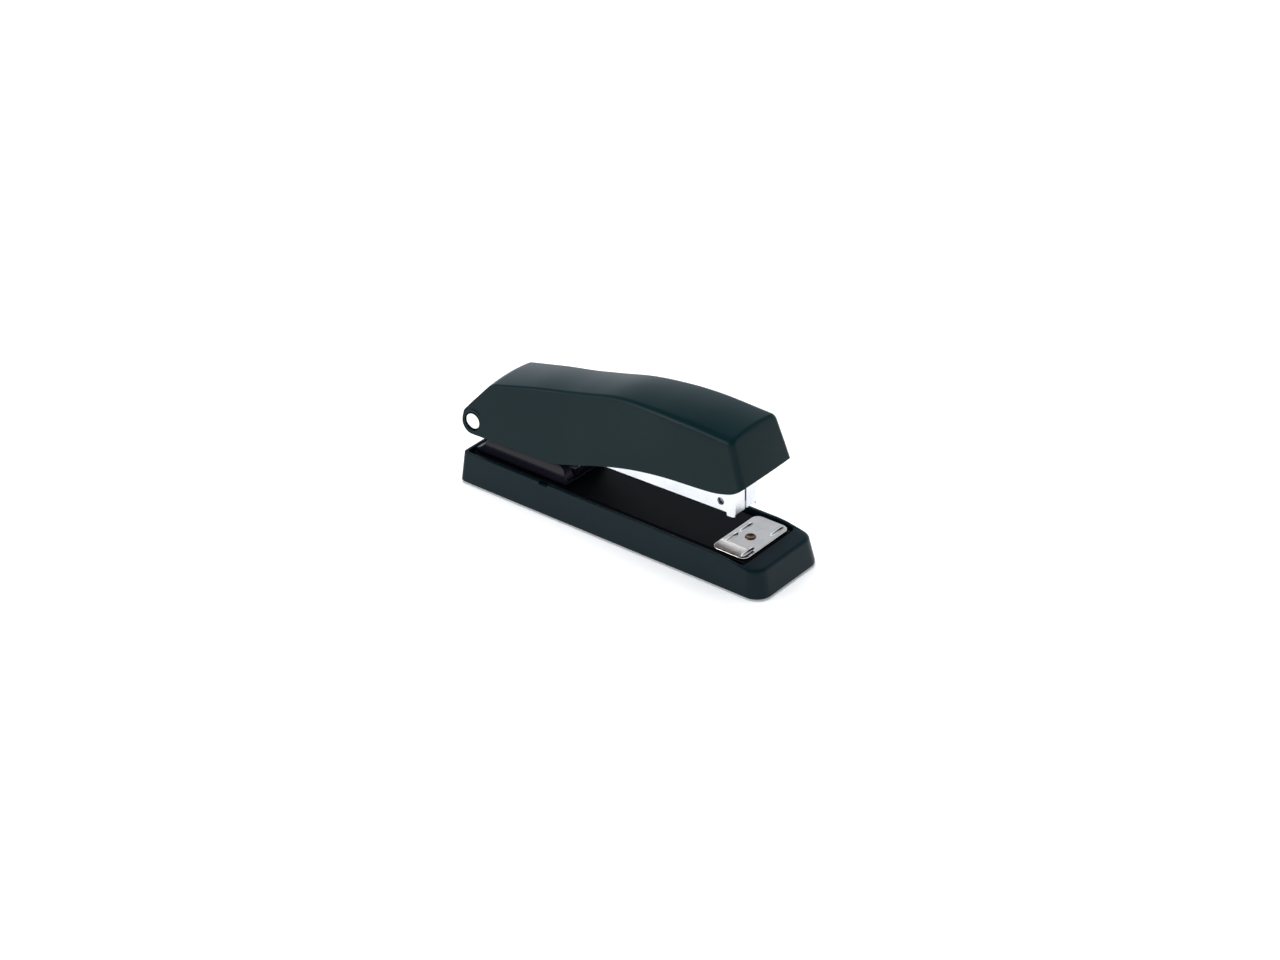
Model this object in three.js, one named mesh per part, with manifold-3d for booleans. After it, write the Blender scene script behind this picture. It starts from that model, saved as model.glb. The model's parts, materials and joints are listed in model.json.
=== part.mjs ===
// Desk stapler: a black plastic shoe with a steel deck, a sprung staple magazine and a handle,
// both hinged on one rear pin, a spring-fed pusher and a two-way anvil.
// Millimetres. +X points to the anvil end, +Y to the left side, +Z up; the table is z = 0.

import * as THREE from 'three';
import { mergeVertices } from 'three/addons/utils/BufferGeometryUtils.js';
import Module from 'manifold-3d';

const wasm = await Module();
wasm.setup();

// ---------------------------------------------------------------- driving dimensions

const GAP = 0.3; // between pieces that touch on the real object
const RUNNING = 0.15; // radial play of a turning joint
const FINE = 32; // facets of a running round surface
const COARSE = 20; // facets of a small round piece

const SHOE = {
  rear: -82.4, front: 84.8, noseTop: 81.4, bottomHalf: 22.5, topHalf: 20.6,
  bottom: 0.5, top: 15, floor: 2, rim: 1.6, noseCorner: 7.6, rearCorner: 2.3,
};
const FOOT = { radius: 5, sink: 0.6, x: 66, rearX: -70, y: 13 };
const DECK = { rear: -79, front: 72.5, half: 16.8, top: 13.8, sheet: 1, flange: 4.2 };
const ANVIL = { x: 62.8, length: 18.1, width: 33, top: 15, thick: 0.9, corner: 3.5, hole: 2.2 };
const PIVOT = { x: -78.5, z: 30, shaft: 2.5, head: 3.8, headThick: 1.1, end: 17 };
const BRACKET = {
  rear: -79.1, front: -27, inner: 9.3, ear: 11.8, outer: 14.4, floorTop: 15.6,
  shoulder: 18.6, shoulderTop: 22, earRadius: 5.2,
};
const HEAD_TILT = THREE.MathUtils.degToRad(1.3); // the magazine climbs towards the anvil end
// Magazine pieces are measured from the pivot: x along the channel, z square to it.
const CHANNEL = { front: 138.4, outer: 8.4, sheet: 1, bottom: -5.3, foot: -6.1, top: 6.9, earRadius: 5.2 };
const RAIL = { start: 9, end: 135.2, half: 5.75, sheet: 0.8, top: 1.5, slot: 1.3 };
const ROD = { radius: 0.8, z: -1.7, springOuter: 1.8, springInner: 1.15 };
const PUSHER = { rear: 117, front: 134.9, inner: 6.05, outer: 6.95, top: 2.8, tabThick: 1.4 };
const FRAME = { inner: 12.1, outer: 13.1, sheet: 1, earRadius: 5, webStart: 10, front: 137 };
const DRIVER = { x: 135.7, thick: 0.5, half: 6.2, tip: 2.4, flange: 12 };
const COVER = {
  halfLow: 18.2, draft: 0.169, frontDraft: 0.075, draftChanges: [-10, 40],
  wall: 1.6, crown: 0.8, bossRadius: 6, backOpening: 41,
};

const ACROSS = 60; // longer than the stapler is wide, for cutters that run right across

// ---------------------------------------------------------------- materials

const finish = (name, color, roughness, metalness) =>
  new THREE.MeshStandardMaterial({ name, color, roughness, metalness });

const shoePlastic = finish('shoe_plastic', 0x2b3234, 0.5, 0);
const handlePlastic = finish('handle_plastic', 0x2c3438, 0.42, 0);
const bracketPlastic = finish('bracket_plastic', 0x23282a, 0.5, 0);
const blackSteel = finish('black_steel', 0x121415, 0.4, 0.4);
const platedSteel = finish('plated_steel', 0xdcdee0, 0.18, 1);
const polishedSteel = finish('polished_steel', 0xe6e6e6, 0.1, 1);
const springSteel = finish('spring_steel', 0x9a9da0, 0.3, 1);
const bronze = finish('bronze', 0x7a5a44, 0.35, 1);
const nickel = finish('nickel', 0xd6d3cc, 0.2, 1);
const rubber = finish('rubber', 0x1b1b1c, 0.9, 0);
const nylon = finish('nylon', 0xe4e2da, 0.6, 0);

// ---------------------------------------------------------------- solid helpers

function solid(geometry) {
  const bare = geometry.index ? geometry.toNonIndexed() : geometry.clone();
  bare.deleteAttribute('normal');
  bare.deleteAttribute('uv');
  const merged = mergeVertices(bare, 1e-4);
  return new wasm.Manifold(new wasm.Mesh({
    numProp: 3,
    vertProperties: new Float32Array(merged.attributes.position.array),
    triVerts: new Uint32Array(merged.index.array),
  }));
}

function toGeometry(manifold) {
  const mesh = manifold.getMesh();
  const geometry = new THREE.BufferGeometry();
  geometry.setAttribute('position', new THREE.BufferAttribute(new Float32Array(mesh.vertProperties), 3));
  geometry.setIndex(Array.from(mesh.triVerts));
  geometry.computeVertexNormals();
  return geometry;
}

function outline(points) {
  return new THREE.Shape(points.map(([a, b]) => new THREE.Vector2(a, b)));
}

function extruded(shape, depth, segments) {
  return new THREE.ExtrudeGeometry(shape, { depth, bevelEnabled: false, curveSegments: segments });
}

// A side view outline (x, z) made as wide as `width`, centred on y.
function acrossY(shape, width, segments = 12) {
  const geometry = extruded(shape, width, segments);
  geometry.rotateX(Math.PI / 2);
  geometry.translate(0, width / 2, 0);
  return solid(geometry);
}

// A cross-section (y, z) drawn out along x from x0 to x1.
function alongX(shape, x0, x1, segments = 6) {
  const geometry = extruded(shape, x1 - x0, segments);
  geometry.applyMatrix4(new THREE.Matrix4().makeBasis(
    new THREE.Vector3(0, 1, 0), new THREE.Vector3(0, 0, 1), new THREE.Vector3(1, 0, 0),
  ));
  geometry.translate(x0, 0, 0);
  return solid(geometry);
}

// A plan outline (x, y) raised from z0 to z1.
function upright(shape, z0, z1, segments = 8) {
  const geometry = extruded(shape, z1 - z0, segments);
  geometry.translate(0, 0, z0);
  return solid(geometry);
}

function box(x0, x1, y0, y1, z0, z1) {
  const geometry = new THREE.BoxGeometry(x1 - x0, y1 - y0, z1 - z0);
  geometry.translate((x0 + x1) / 2, (y0 + y1) / 2, (z0 + z1) / 2);
  return solid(geometry);
}

// A round bar whose axis lies along y.
function barY(radius, y0, y1, x, z, facets = FINE) {
  const geometry = new THREE.CylinderGeometry(radius, radius, y1 - y0, facets);
  geometry.translate(x, (y0 + y1) / 2, z);
  return solid(geometry);
}

// A turned piece: the profile (radius, height) spun about a vertical axis.
function turned(profile, x, y, facets = COARSE) {
  const points = profile.map(([r, h]) => new THREE.Vector2(r, h));
  const geometry = new THREE.LatheGeometry(points, facets);
  geometry.rotateX(Math.PI / 2);
  geometry.translate(x, y, 0);
  return solid(geometry);
}

// A skin over closed rings of points (x, y, z) with the same count, capped at both ends.
function skin(given) {
  const spread = (axis) => {
    const values = given[0].map((point) => point[axis]);
    return Math.max(...values) - Math.min(...values);
  };
  const normal = [0, 1, 2].reduce((best, axis) => (spread(axis) < spread(best) ? axis : best));
  const flatten = (ring) => ring.map((p) => new THREE.Vector2(p[(normal + 1) % 3], p[(normal + 2) % 3]));
  const clockwise = THREE.ShapeUtils.isClockWise(flatten(given[0]));
  const turned = clockwise ? given.map((ring) => [...ring].reverse()) : given;
  const rings = turned[0][0][normal] < turned[turned.length - 1][0][normal] ? turned : [...turned].reverse();
  const count = rings[0].length;
  const index = [];
  for (let i = 0; i < rings.length - 1; i += 1) {
    for (let j = 0; j < count; j += 1) {
      const a = i * count + j;
      const b = i * count + ((j + 1) % count);
      index.push(a, b, b + count, a, b + count, a + count);
    }
  }
  const last = (rings.length - 1) * count;
  for (const [a, b, c] of THREE.ShapeUtils.triangulateShape(flatten(rings[0]), [])) {
    index.push(c, b, a);
  }
  for (const [a, b, c] of THREE.ShapeUtils.triangulateShape(flatten(rings[rings.length - 1]), [])) {
    index.push(last + a, last + b, last + c);
  }
  const geometry = new THREE.BufferGeometry();
  geometry.setAttribute('position', new THREE.Float32BufferAttribute(rings.flat(2), 3));
  geometry.setIndex(index);
  return solid(geometry);
}

const stapler = new THREE.Group();
const head = new THREE.Group(); // measured from the pivot, tilted with the magazine
head.position.set(PIVOT.x, 0, PIVOT.z);
head.rotation.y = -HEAD_TILT;
stapler.add(head);

function add(name, manifold, material, parent = stapler) {
  const mesh = new THREE.Mesh(toGeometry(manifold), material);
  mesh.name = name;
  parent.add(mesh);
}

// A closed line with its corners rounded off: corner (x, y, radius).
function rounded(corners, steps = 6) {
  const points = [];
  corners.forEach(([x, y, radius], i) => {
    const before = corners[(i + corners.length - 1) % corners.length];
    const after = corners[(i + 1) % corners.length];
    const corner = new THREE.Vector2(x, y);
    const back = new THREE.Vector2(before[0] - x, before[1] - y).normalize();
    const ahead = new THREE.Vector2(after[0] - x, after[1] - y).normalize();
    if (!radius) {
      points.push([x, y]);
      return;
    }
    const half = back.angleTo(ahead) / 2;
    const reach = radius / Math.tan(half);
    const start = corner.clone().addScaledVector(back, reach);
    const end = corner.clone().addScaledVector(ahead, reach);
    const inward = back.clone().add(ahead).normalize();
    const centre = corner.clone().addScaledVector(inward, radius / Math.sin(half));
    const from = start.clone().sub(centre).angle();
    let sweep = end.clone().sub(centre).angle() - from;
    sweep = Math.atan2(Math.sin(sweep), Math.cos(sweep));
    for (let k = 0; k <= steps; k += 1) {
      const angle = from + (sweep * k) / steps;
      points.push([centre.x + radius * Math.cos(angle), centre.y + radius * Math.sin(angle)]);
    }
  });
  return points;
}

// ---------------------------------------------------------------- base

// The shoe's plan outline, drawn in by `inset` at the sides and rear and ending at `front`.
function shoePlan(half, front, inset) {
  const rear = SHOE.rear + inset;
  const noseCorner = SHOE.noseCorner - inset * 0.5;
  return rounded([
    [rear, -half, SHOE.rearCorner], [front, -half, noseCorner],
    [front, half, noseCorner], [rear, half, SHOE.rearCorner],
  ]);
}

function baseShoe() {
  const edge = 0.8; // the bottom edge is eased off by this much
  const ring = (half, front, inset, z) => shoePlan(half, front, inset).map(([x, y]) => [x, y, z]);
  const body = skin([
    ring(SHOE.bottomHalf - edge, SHOE.front - edge, edge, SHOE.bottom),
    ring(SHOE.bottomHalf, SHOE.front, 0, SHOE.bottom + edge),
    ring(SHOE.topHalf, SHOE.noseTop, 0.5, SHOE.top),
  ]);
  const wellHalf = SHOE.topHalf - SHOE.rim;
  const wellRear = SHOE.rear + 2;
  const wellFront = DECK.front + GAP;
  const floorTop = SHOE.bottom + SHOE.floor;
  const wellPlan = rounded([
    [wellRear, -wellHalf, 1.5], [wellFront, -wellHalf, 2],
    [wellFront, wellHalf, 2], [wellRear, wellHalf, 1.5],
  ]);
  const well = upright(outline(wellPlan), floorTop, SHOE.top + 1);
  // The nose sits a little lower than the rims, and its top falls forward.
  const noseCut = acrossY(outline([
    [60, DECK.top], [74, DECK.top], [SHOE.front, DECK.top - 0.9], [SHOE.front, 20], [60, 20],
  ]), 2 * (SHOE.topHalf - SHOE.rim));
  const rimFade = acrossY(outline([
    [66, SHOE.top], [SHOE.front + 2, DECK.top - 1.1], [SHOE.front + 2, 20], [66, 20],
  ]), ACROSS);
  let shoe = body.subtract(well).subtract(noseCut).subtract(rimFade);
  for (const x of [-60, -20, 20, 50]) {
    const ribHalf = DECK.half - DECK.sheet - GAP;
    const ribTop = DECK.top - DECK.sheet - GAP;
    const rib = box(x - 0.8, x + 0.8, -ribHalf, ribHalf, floorTop - 0.5, ribTop);
    const rivetWay = box(x - 2, x + 2, -4, 4, ribTop - 3, ribTop + 1);
    shoe = shoe.add(rib.subtract(rivetWay));
  }
  for (const side of [-1, 1]) {
    const notchY = side * (SHOE.topHalf - SHOE.rim / 2);
    shoe = shoe.subtract(box(-38, -33, notchY - 1.2, notchY + 1.2, SHOE.top - 1, SHOE.top + 1));
  }
  for (const [x, y] of footSpots()) {
    const recessTop = SHOE.bottom + FOOT.sink + GAP;
    const recessRadius = FOOT.radius + GAP;
    const recess = [[0, 0], [recessRadius, 0], [recessRadius, recessTop], [0, recessTop]];
    shoe = shoe.subtract(turned(recess, x, y));
  }
  return shoe;
}

function footSpots() {
  return [[FOOT.x, FOOT.y], [FOOT.x, -FOOT.y], [FOOT.rearX, FOOT.y], [FOOT.rearX, -FOOT.y]];
}

function rubberFoot(x, y) {
  const ease = 0.4;
  return turned([[0, 0], [FOOT.radius - ease, 0], [FOOT.radius, ease], [FOOT.radius, SHOE.bottom + FOOT.sink],
    [0, SHOE.bottom + FOOT.sink]], x, y);
}

const RIVET_X = { bracketFront: -36, bracketRear: -70 };
const RIVET_SHANK = 1.4;

// The cutter for a rivet's clearance hole between two heights.
function rivetHole(x, y, z0, z1) {
  const radius = RIVET_SHANK + GAP;
  return turned([[0, z0], [radius, z0], [radius, z1], [0, z1]], x, y);
}

// A pressed steel plate with its long edges folded down.
function deckPlate() {
  const { half, top, sheet, flange } = DECK;
  const section = outline([
    [-half, top - flange], [-half + sheet, top - flange], [-half + sheet, top - sheet],
    [half - sheet, top - sheet], [half - sheet, top - flange], [half, top - flange],
    [half, top - 0.6], [half - 0.6, top], [-half + 0.6, top], [-half, top - 0.6],
  ]);
  let plate = alongX(section, DECK.rear, DECK.front);
  const frontFlangeEnd = DECK.front - 6;
  plate = plate.subtract(box(frontFlangeEnd, DECK.front + 1, -20, 20, 0, top - sheet));
  for (const x of Object.values(RIVET_X)) {
    plate = plate.subtract(rivetHole(x, 0, 5, 20));
  }
  return plate.subtract(turned([[0, 5], [ANVIL.hole, 5], [ANVIL.hole, 20], [0, 20]], ANVIL.x, 0));
}

// Two cheeks on a floor, one moulding; their rear ends are the ears that hold the pin.
function hingeBracket() {
  const { rear, front, inner, ear, outer, floorTop, shoulder, shoulderTop, earRadius } = BRACKET;
  const bottom = DECK.top + GAP;
  const neckRear = PIVOT.x + 6;
  const earBack = -1.95; // where the ear's underside leaves its round end, in radians
  const side = new THREE.Shape();
  side.moveTo(rear, bottom);
  side.lineTo(front, bottom);
  side.bezierCurveTo(front - 0.4, shoulder + 1, front - 2, shoulderTop - 0.5, front - 8, shoulderTop);
  side.lineTo(PIVOT.x + 13, shoulderTop + 0.5);
  side.lineTo(PIVOT.x + earRadius, PIVOT.z - 2);
  side.absarc(PIVOT.x, PIVOT.z, earRadius, 0, 2 * Math.PI + earBack, false);
  side.lineTo(neckRear, shoulderTop);
  side.quadraticCurveTo(neckRear - 2.2, SHOE.top + 1.8, rear, SHOE.top + 0.4);
  side.closePath();
  const block = acrossY(side, 2 * outer, 8);
  const section = alongX(outline([
    [-outer, bottom - 1], [outer, bottom - 1], [outer, shoulder], [ear, shoulderTop], [ear, 40],
    [-ear, 40], [-ear, shoulderTop], [-outer, shoulder],
  ]), rear - 10, front + 1);
  let bracket = block.intersect(section);
  bracket = bracket.subtract(box(rear - 10, front + 1, -inner, inner, floorTop, 40));
  for (const x of Object.values(RIVET_X)) {
    bracket = bracket.subtract(rivetHole(x, 0, 5, 20));
  }
  return bracket.subtract(barY(PIVOT.shaft + RUNNING, -ACROSS, ACROSS, PIVOT.x, PIVOT.z));
}

// A rivet with a low domed head above `seat` and a closing head below `under`.
function rivet(x, y, shank, headRadius, under, seat) {
  const dome = 0.7;
  return turned([
    [0, under - dome], [headRadius - 0.4, under - dome], [headRadius, under], [shank, under], [shank, seat],
    [headRadius, seat], [headRadius - 0.6, seat + dome * 0.8], [0, seat + dome],
  ], x, y);
}

// One bar right across the hinge, with a flat head at each end.
function pivotPin() {
  const { shaft, head: radius, headThick, end, x, z } = PIVOT;
  const profile = [
    [0, -end], [radius - 0.3, -end], [radius, -end + 0.3], [radius, -end + headThick],
    [shaft, -end + headThick],
    [shaft, end - headThick], [radius, end - headThick], [radius, end - 0.3], [radius - 0.3, end], [0, end],
  ].map(([r, h]) => new THREE.Vector2(r, h));
  const geometry = new THREE.LatheGeometry(profile, FINE);
  geometry.translate(x, 0, z);
  return solid(geometry);
}

// A strip bent along a side-view line (x, z), `thick` deep and `width` wide.
function leaf(path, thick, width) {
  const upper = path.map(([x, z]) => [x, z + thick]).reverse();
  return acrossY(outline([...path, ...upper]), width);
}

// Points along a smooth line through the given ones.
function smooth(points, count) {
  const curve = new THREE.SplineCurve(points.map(([a, b]) => new THREE.Vector2(a, b)));
  return curve.getPoints(count).map((p) => [p.x, p.y]);
}

function liftSpring() {
  const foot = BRACKET.floorTop + GAP;
  const line = [
    [-31, foot], [-38, foot], [-44, foot + 1.6], [-52, foot + 5.6], [-58, foot + 8.1], [-61, foot + 8.2],
    [-63, foot + 7.4],
  ];
  const strip = leaf(smooth(line, 18), 0.5, 8);
  return strip.subtract(rivetHole(RIVET_X.bracketFront, 0, 5, 20));
}

function anvilPlate() {
  const { x, length, width, top, thick, corner, hole } = ANVIL;
  const rim = 0.5;
  const half = length / 2;
  const plan = (inset) => rounded([
    [x - half + inset, -width / 2 + inset, corner], [x + half - inset, -width / 2 + inset, corner],
    [x + half - inset, width / 2 - inset, corner], [x - half + inset, width / 2 - inset, corner],
  ]);
  const ring = (inset, z) => plan(inset).map(([px, py]) => [px, py, z]);
  let plate = skin([ring(0, top - thick), ring(0, top - rim), ring(rim, top)]);
  plate = plate.subtract(turned([[0, 5], [hole, 5], [hole, 20], [0, 20]], x, 0));
  // Clinch grooves: an adjacent pair that turns the legs in, a spread pair that turns them out.
  const groove = { length: 9.6, half: 0.9, depth: 0.45 };
  const spots = [[x - 6.2, 0.5], [x - 6.2, -10.1], [x + 6.2, 5.9], [x + 6.2, -15.5]];
  for (const [gx, gy] of spots) {
    const long = groove.length;
    const run = outline(rounded([
      [gx - groove.half, gy, 0.85], [gx + groove.half, gy, 0.85],
      [gx + groove.half, gy + long, 0.85], [gx - groove.half, gy + long, 0.85],
    ], 4));
    plate = plate.subtract(upright(run, top - groove.depth, top + 1));
  }
  return plate;
}

function anvilRivet() {
  const shank = ANVIL.hole - GAP;
  const seat = ANVIL.top + 0.05;
  return turned([
    [0, 10.2], [3.6, 10.2], [3.6, 11.2], [shank, 11.2], [shank, seat],
    [2.5, seat + 0.02], [2.4, seat + 0.3], [1.2, seat + 0.45], [0, seat + 0.45],
  ], ANVIL.x, 0, FINE);
}

function springWasher() {
  const low = 11.5;
  return turned([
    [ANVIL.hole, low], [4.6, low + 0.4], [4.6, low + 0.9], [ANVIL.hole, low + 0.5], [ANVIL.hole, low],
  ], ANVIL.x, 0, FINE);
}

add('base_shoe', baseShoe(), shoePlastic);
add('deck_plate', deckPlate(), blackSteel);
footSpots().forEach(([x, y]) => {
  const name = `foot_${x > 0 ? 'front' : 'rear'}_${y > 0 ? 'left' : 'right'}`;
  add(name, rubberFoot(x, y), rubber);
});
add('hinge_bracket', hingeBracket(), bracketPlastic);
const underDeck = DECK.top - DECK.sheet - GAP;
const springSeat = BRACKET.floorTop + 2 * GAP + 0.5;
add('bracket_rivet_front', rivet(RIVET_X.bracketFront, 0, RIVET_SHANK, 2.6, underDeck, springSeat),
  springSteel);
add('bracket_rivet_rear', rivet(RIVET_X.bracketRear, 0, RIVET_SHANK, 2.6, underDeck, BRACKET.floorTop + GAP),
  springSteel);
add('pivot_pin', pivotPin(), nickel);
add('lift_spring', liftSpring(), springSteel);
add('anvil_plate', anvilPlate(), polishedSteel);
add('anvil_rivet', anvilRivet(), bronze);
add('anvil_spring_washer', springWasher(), springSteel);

// ---------------------------------------------------------------- magazine

function magazineChannel() {
  const { front, outer, sheet, bottom, foot, top, earRadius } = CHANNEL;
  const inner = outer - sheet;
  const footStart = front - 4;
  const side = new THREE.Shape();
  side.moveTo(0, -earRadius);
  side.lineTo(4, bottom);
  side.lineTo(footStart, bottom);
  side.lineTo(footStart + 0.4, foot);
  side.lineTo(front, foot);
  side.lineTo(front, top);
  side.lineTo(14, top);
  side.quadraticCurveTo(8, top, 6, earRadius);
  side.lineTo(0, earRadius);
  side.absarc(0, 0, earRadius, Math.PI / 2, 1.5 * Math.PI, false);
  let channel = acrossY(side, 2 * outer, 8);
  channel = channel.subtract(box(-20, front - sheet, -inner, inner, bottom + sheet, 20));
  channel = channel.subtract(box(-20, 8, -inner, inner, -20, 20));
  // The staple leaves between the floor's end and the folded front. Only the side walls reach down as feet.
  channel = channel.subtract(box(RAIL.end, front - sheet, -inner, inner, foot - 1, bottom + 2));
  channel = channel.subtract(box(footStart - 1, RAIL.end + 1, -inner, inner, foot - 1, bottom));
  channel = channel.subtract(box(front - sheet - 1, front + 1, -inner, inner, foot - 1, bottom + 0.3));
  const seam = 0.6;
  channel = channel.subtract(box(front - sheet - 1, front + 1, -seam, seam, foot - 1, top + 1));
  channel = channel.subtract(barY(1.75, -ACROSS, ACROSS, front - 7.1, 0.1, COARSE));
  channel = channel.subtract(turned([[0, -9], [RAIL_RIVET + GAP, -9], [RAIL_RIVET + GAP, 0], [0, 0]], 12, 0));
  return channel.subtract(barY(PIVOT.shaft + RUNNING, -ACROSS, ACROSS, 0, 0));
}

const RAIL_RIVET = 1.1;

// An upturned channel that the staples straddle, slotted for the pusher's tab.
function stapleRail() {
  const { start, end, half, sheet, top, slot } = RAIL;
  const low = CHANNEL.bottom + CHANNEL.sheet + GAP;
  const section = outline([
    [-half, low], [-half + sheet, low], [-half + sheet, top - sheet], [half - sheet, top - sheet],
    [half - sheet, low], [half, low], [half, top], [-half, top],
  ]);
  return alongX(section, start, end).subtract(box(start + 8, end - 1.6, -slot, slot, top - 2, top + 1));
}

// The plate that holds one end of the guide rod inside the rail.
function rodPlate(x0, x1) {
  const half = RAIL.half - RAIL.sheet - GAP;
  const plate = box(x0, x1, -half, half, CHANNEL.bottom + CHANNEL.sheet + GAP, RAIL.top - RAIL.sheet - GAP);
  return plate.subtract(alongRod(ROD.radius + 0.1, x0 - 1, x1 + 1));
}

function alongRod(radius, x0, x1) {
  const geometry = new THREE.CylinderGeometry(radius, radius, x1 - x0, 16);
  geometry.rotateZ(Math.PI / 2);
  geometry.translate((x0 + x1) / 2, 0, ROD.z);
  return solid(geometry);
}

const ROD_PLATE = { front: [133.6, 134.8], rear: [10, 15] };

function pusher() {
  const { rear, front, inner, outer, top, tabThick } = PUSHER;
  const low = CHANNEL.bottom + CHANNEL.sheet + GAP;
  const under = RAIL.top + GAP;
  const saddle = alongX(outline([
    [-outer, low], [-inner, low], [-inner, under], [inner, under], [inner, low], [outer, low],
    [outer, top - 0.6], [outer - 0.6, top], [-outer + 0.6, top], [-outer, top - 0.6],
  ]), rear, front);
  const tabX = ROD_PLATE.front[0] - 0.5 - tabThick;
  const neck = box(tabX, tabX + tabThick, -RAIL.slot + GAP, RAIL.slot - GAP, RAIL.top - 2, under + 0.3);
  const tab = box(tabX, tabX + tabThick, -2.2, 2.2, low + 0.4, RAIL.top - RAIL.sheet - GAP);
  return saddle.add(neck).add(tab).subtract(alongRod(ROD.radius + RUNNING, tabX - 1, tabX + tabThick + 1));
}

function followerSpring() {
  const rear = ROD_PLATE.rear[1] + GAP;
  const front = ROD_PLATE.front[0] - 0.5 - PUSHER.tabThick - GAP;
  return alongRod(ROD.springOuter, rear, front).subtract(alongRod(ROD.springInner, rear - 1, front + 1));
}

add('magazine_channel', magazineChannel(), platedSteel, head);
add('staple_rail', stapleRail(), platedSteel, head);
add('rod_plate_front', rodPlate(...ROD_PLATE.front), springSteel, head);
const rearPlate = rodPlate(...ROD_PLATE.rear);
const rivetWay = turned([[0, -9], [RAIL_RIVET + GAP, -9], [RAIL_RIVET + GAP, -2.9], [0, -2.9]], 12, 0);
add('rod_plate_rear', rearPlate.subtract(rivetWay), springSteel, head);
const railRivet = turned([
  [0, -6.3], [1.9, -6.3], [2.3, -5.6], [RAIL_RIVET, -5.6], [RAIL_RIVET, -3.2], [0, -3.2],
], 12, 0);
add('rail_rivet', railRivet, springSteel, head);
add('guide_rod', alongRod(ROD.radius, ROD_PLATE.rear[0] + 1, ROD_PLATE.front[1]), springSteel, head);
add('follower_spring', followerSpring(), springSteel, head);
add('pusher', pusher(), springSteel, head);
for (const side of [-1, 1]) {
  const washer = barY(4.6, CHANNEL.outer + 0.2, BRACKET.inner - 0.2, PIVOT.x, PIVOT.z, COARSE)
    .subtract(barY(PIVOT.shaft + RUNNING, CHANNEL.outer, BRACKET.inner, PIVOT.x, PIVOT.z));
  const placed = side > 0 ? washer : washer.mirror([0, 1, 0]);
  add(`pivot_washer_${side > 0 ? 'left' : 'right'}`, placed, nylon);
}

// ---------------------------------------------------------------- handle

// The top of the steel frame's web, a straight fold line.
const webTop = (x) => 9.8 + (x - FRAME.webStart) * 0.086;

function handleFrame() {
  const { inner, outer, sheet, earRadius, webStart, front } = FRAME;
  const side = new THREE.Shape();
  side.moveTo(0, -earRadius);
  side.lineTo(38, -3.2);
  const sweep = [[48, -2], [60, 1], [74, 4.6], [90, 8.2], [108, 10.4], [134, 11.8]];
  side.splineThru(sweep.map(([x, z]) => new THREE.Vector2(x, z)));
  side.lineTo(front, 13);
  side.lineTo(front, webTop(front));
  side.lineTo(webStart, webTop(webStart));
  side.lineTo(earRadius * 0.6, earRadius * 0.8);
  side.absarc(0, 0, earRadius, Math.atan2(0.8, 0.6), 1.5 * Math.PI, false);
  const block = acrossY(side, 2 * outer, 4);
  const hollow = acrossY(outline([
    [webStart, -20], [front + 5, -20],
    [front + 5, webTop(front + 5) - sheet], [webStart, webTop(webStart) - sheet],
  ]), 2 * inner);
  const rearHollow = box(-20, webStart, -inner, inner, -20, 30);
  let frame = block.subtract(hollow).subtract(rearHollow);
  for (const [x, y] of [...driverRivetSpots(), [SPRING_RIVET_X, 0]]) {
    frame = frame.subtract(rivetHole(x, y, 0, 30));
  }
  return frame.subtract(barY(PIVOT.shaft + RUNNING, -ACROSS, ACROSS, 0, 0));
}

const SPRING_RIVET_X = 24;

function driverRivetSpots() {
  return [[DRIVER.x - 6, 3.6], [DRIVER.x - 6, -3.6]];
}

// The blade that drives the staple, folded back under the web and riveted there.
function driverBlade() {
  const { x, thick, half, tip, flange } = DRIVER;
  const under = (at) => webTop(at) - FRAME.sheet - GAP;
  let blade = acrossY(outline([
    [x, tip], [x + thick, tip], [x + thick, under(x + thick)], [x - flange, under(x - flange)],
    [x - flange, under(x - flange) - 0.8], [x, under(x) - 0.8],
  ]), 2 * half);
  for (const [rx, ry] of driverRivetSpots()) {
    blade = blade.subtract(rivetHole(rx, ry, 10, 30));
  }
  return blade;
}

function handleSpring() {
  const foot = (x) => webTop(x) - FRAME.sheet - GAP - 0.6;
  const rest = CHANNEL.top + GAP;
  const line = [
    [17, foot(17)], [24, foot(24)], [31, foot(31) - 0.2], [44, foot(44) - 2.1], [58, rest + 0.4], [64, rest],
    [69, rest + 1],
  ];
  const strip = leaf(smooth(line, 20), 0.6, 15.8);
  return strip.subtract(rivetHole(SPRING_RIVET_X, 0, 0, 30));
}

// The cover's lower edge and its top line, seen from the side.
const lowerEdge = [
  [-78.5, 24], [-62.5, 24.5], [-45, 25.2], [-31, 25.8], [-19.5, 29.1], [-5.5, 33.6], [12, 38.1], [29.3, 40.7],
  [55, 42.7], [63.5, 44.7], [67.5, 46.6],
];
const topLine = [
  [63.6, 69.6], [46.5, 70.4], [36.5, 70.5], [21.5, 70], [1.5, 67.9], [-16.5, 63.4], [-29.5, 60.1],
  [-46.5, 56.3], [-58.5, 53.2], [-70.5, 50],
];
const FRONT_LOW = [71, 49.4];

// The height of a line (x, z) at x, held level past its ends.
function heightAt(line, x) {
  const sorted = [...line].sort((a, b) => a[0] - b[0]);
  if (x <= sorted[0][0]) {
    return sorted[0][1];
  }
  for (let i = 1; i < sorted.length; i += 1) {
    const [x0, z0] = sorted[i - 1];
    const [x1, z1] = sorted[i];
    if (x <= x1) {
      return z0 + ((z1 - z0) * (x - x0)) / (x1 - x0);
    }
  }
  return sorted[sorted.length - 1][1];
}

const lowerSmooth = smooth(lowerEdge, 26);
const topSmooth = smooth(topLine, 18);

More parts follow.
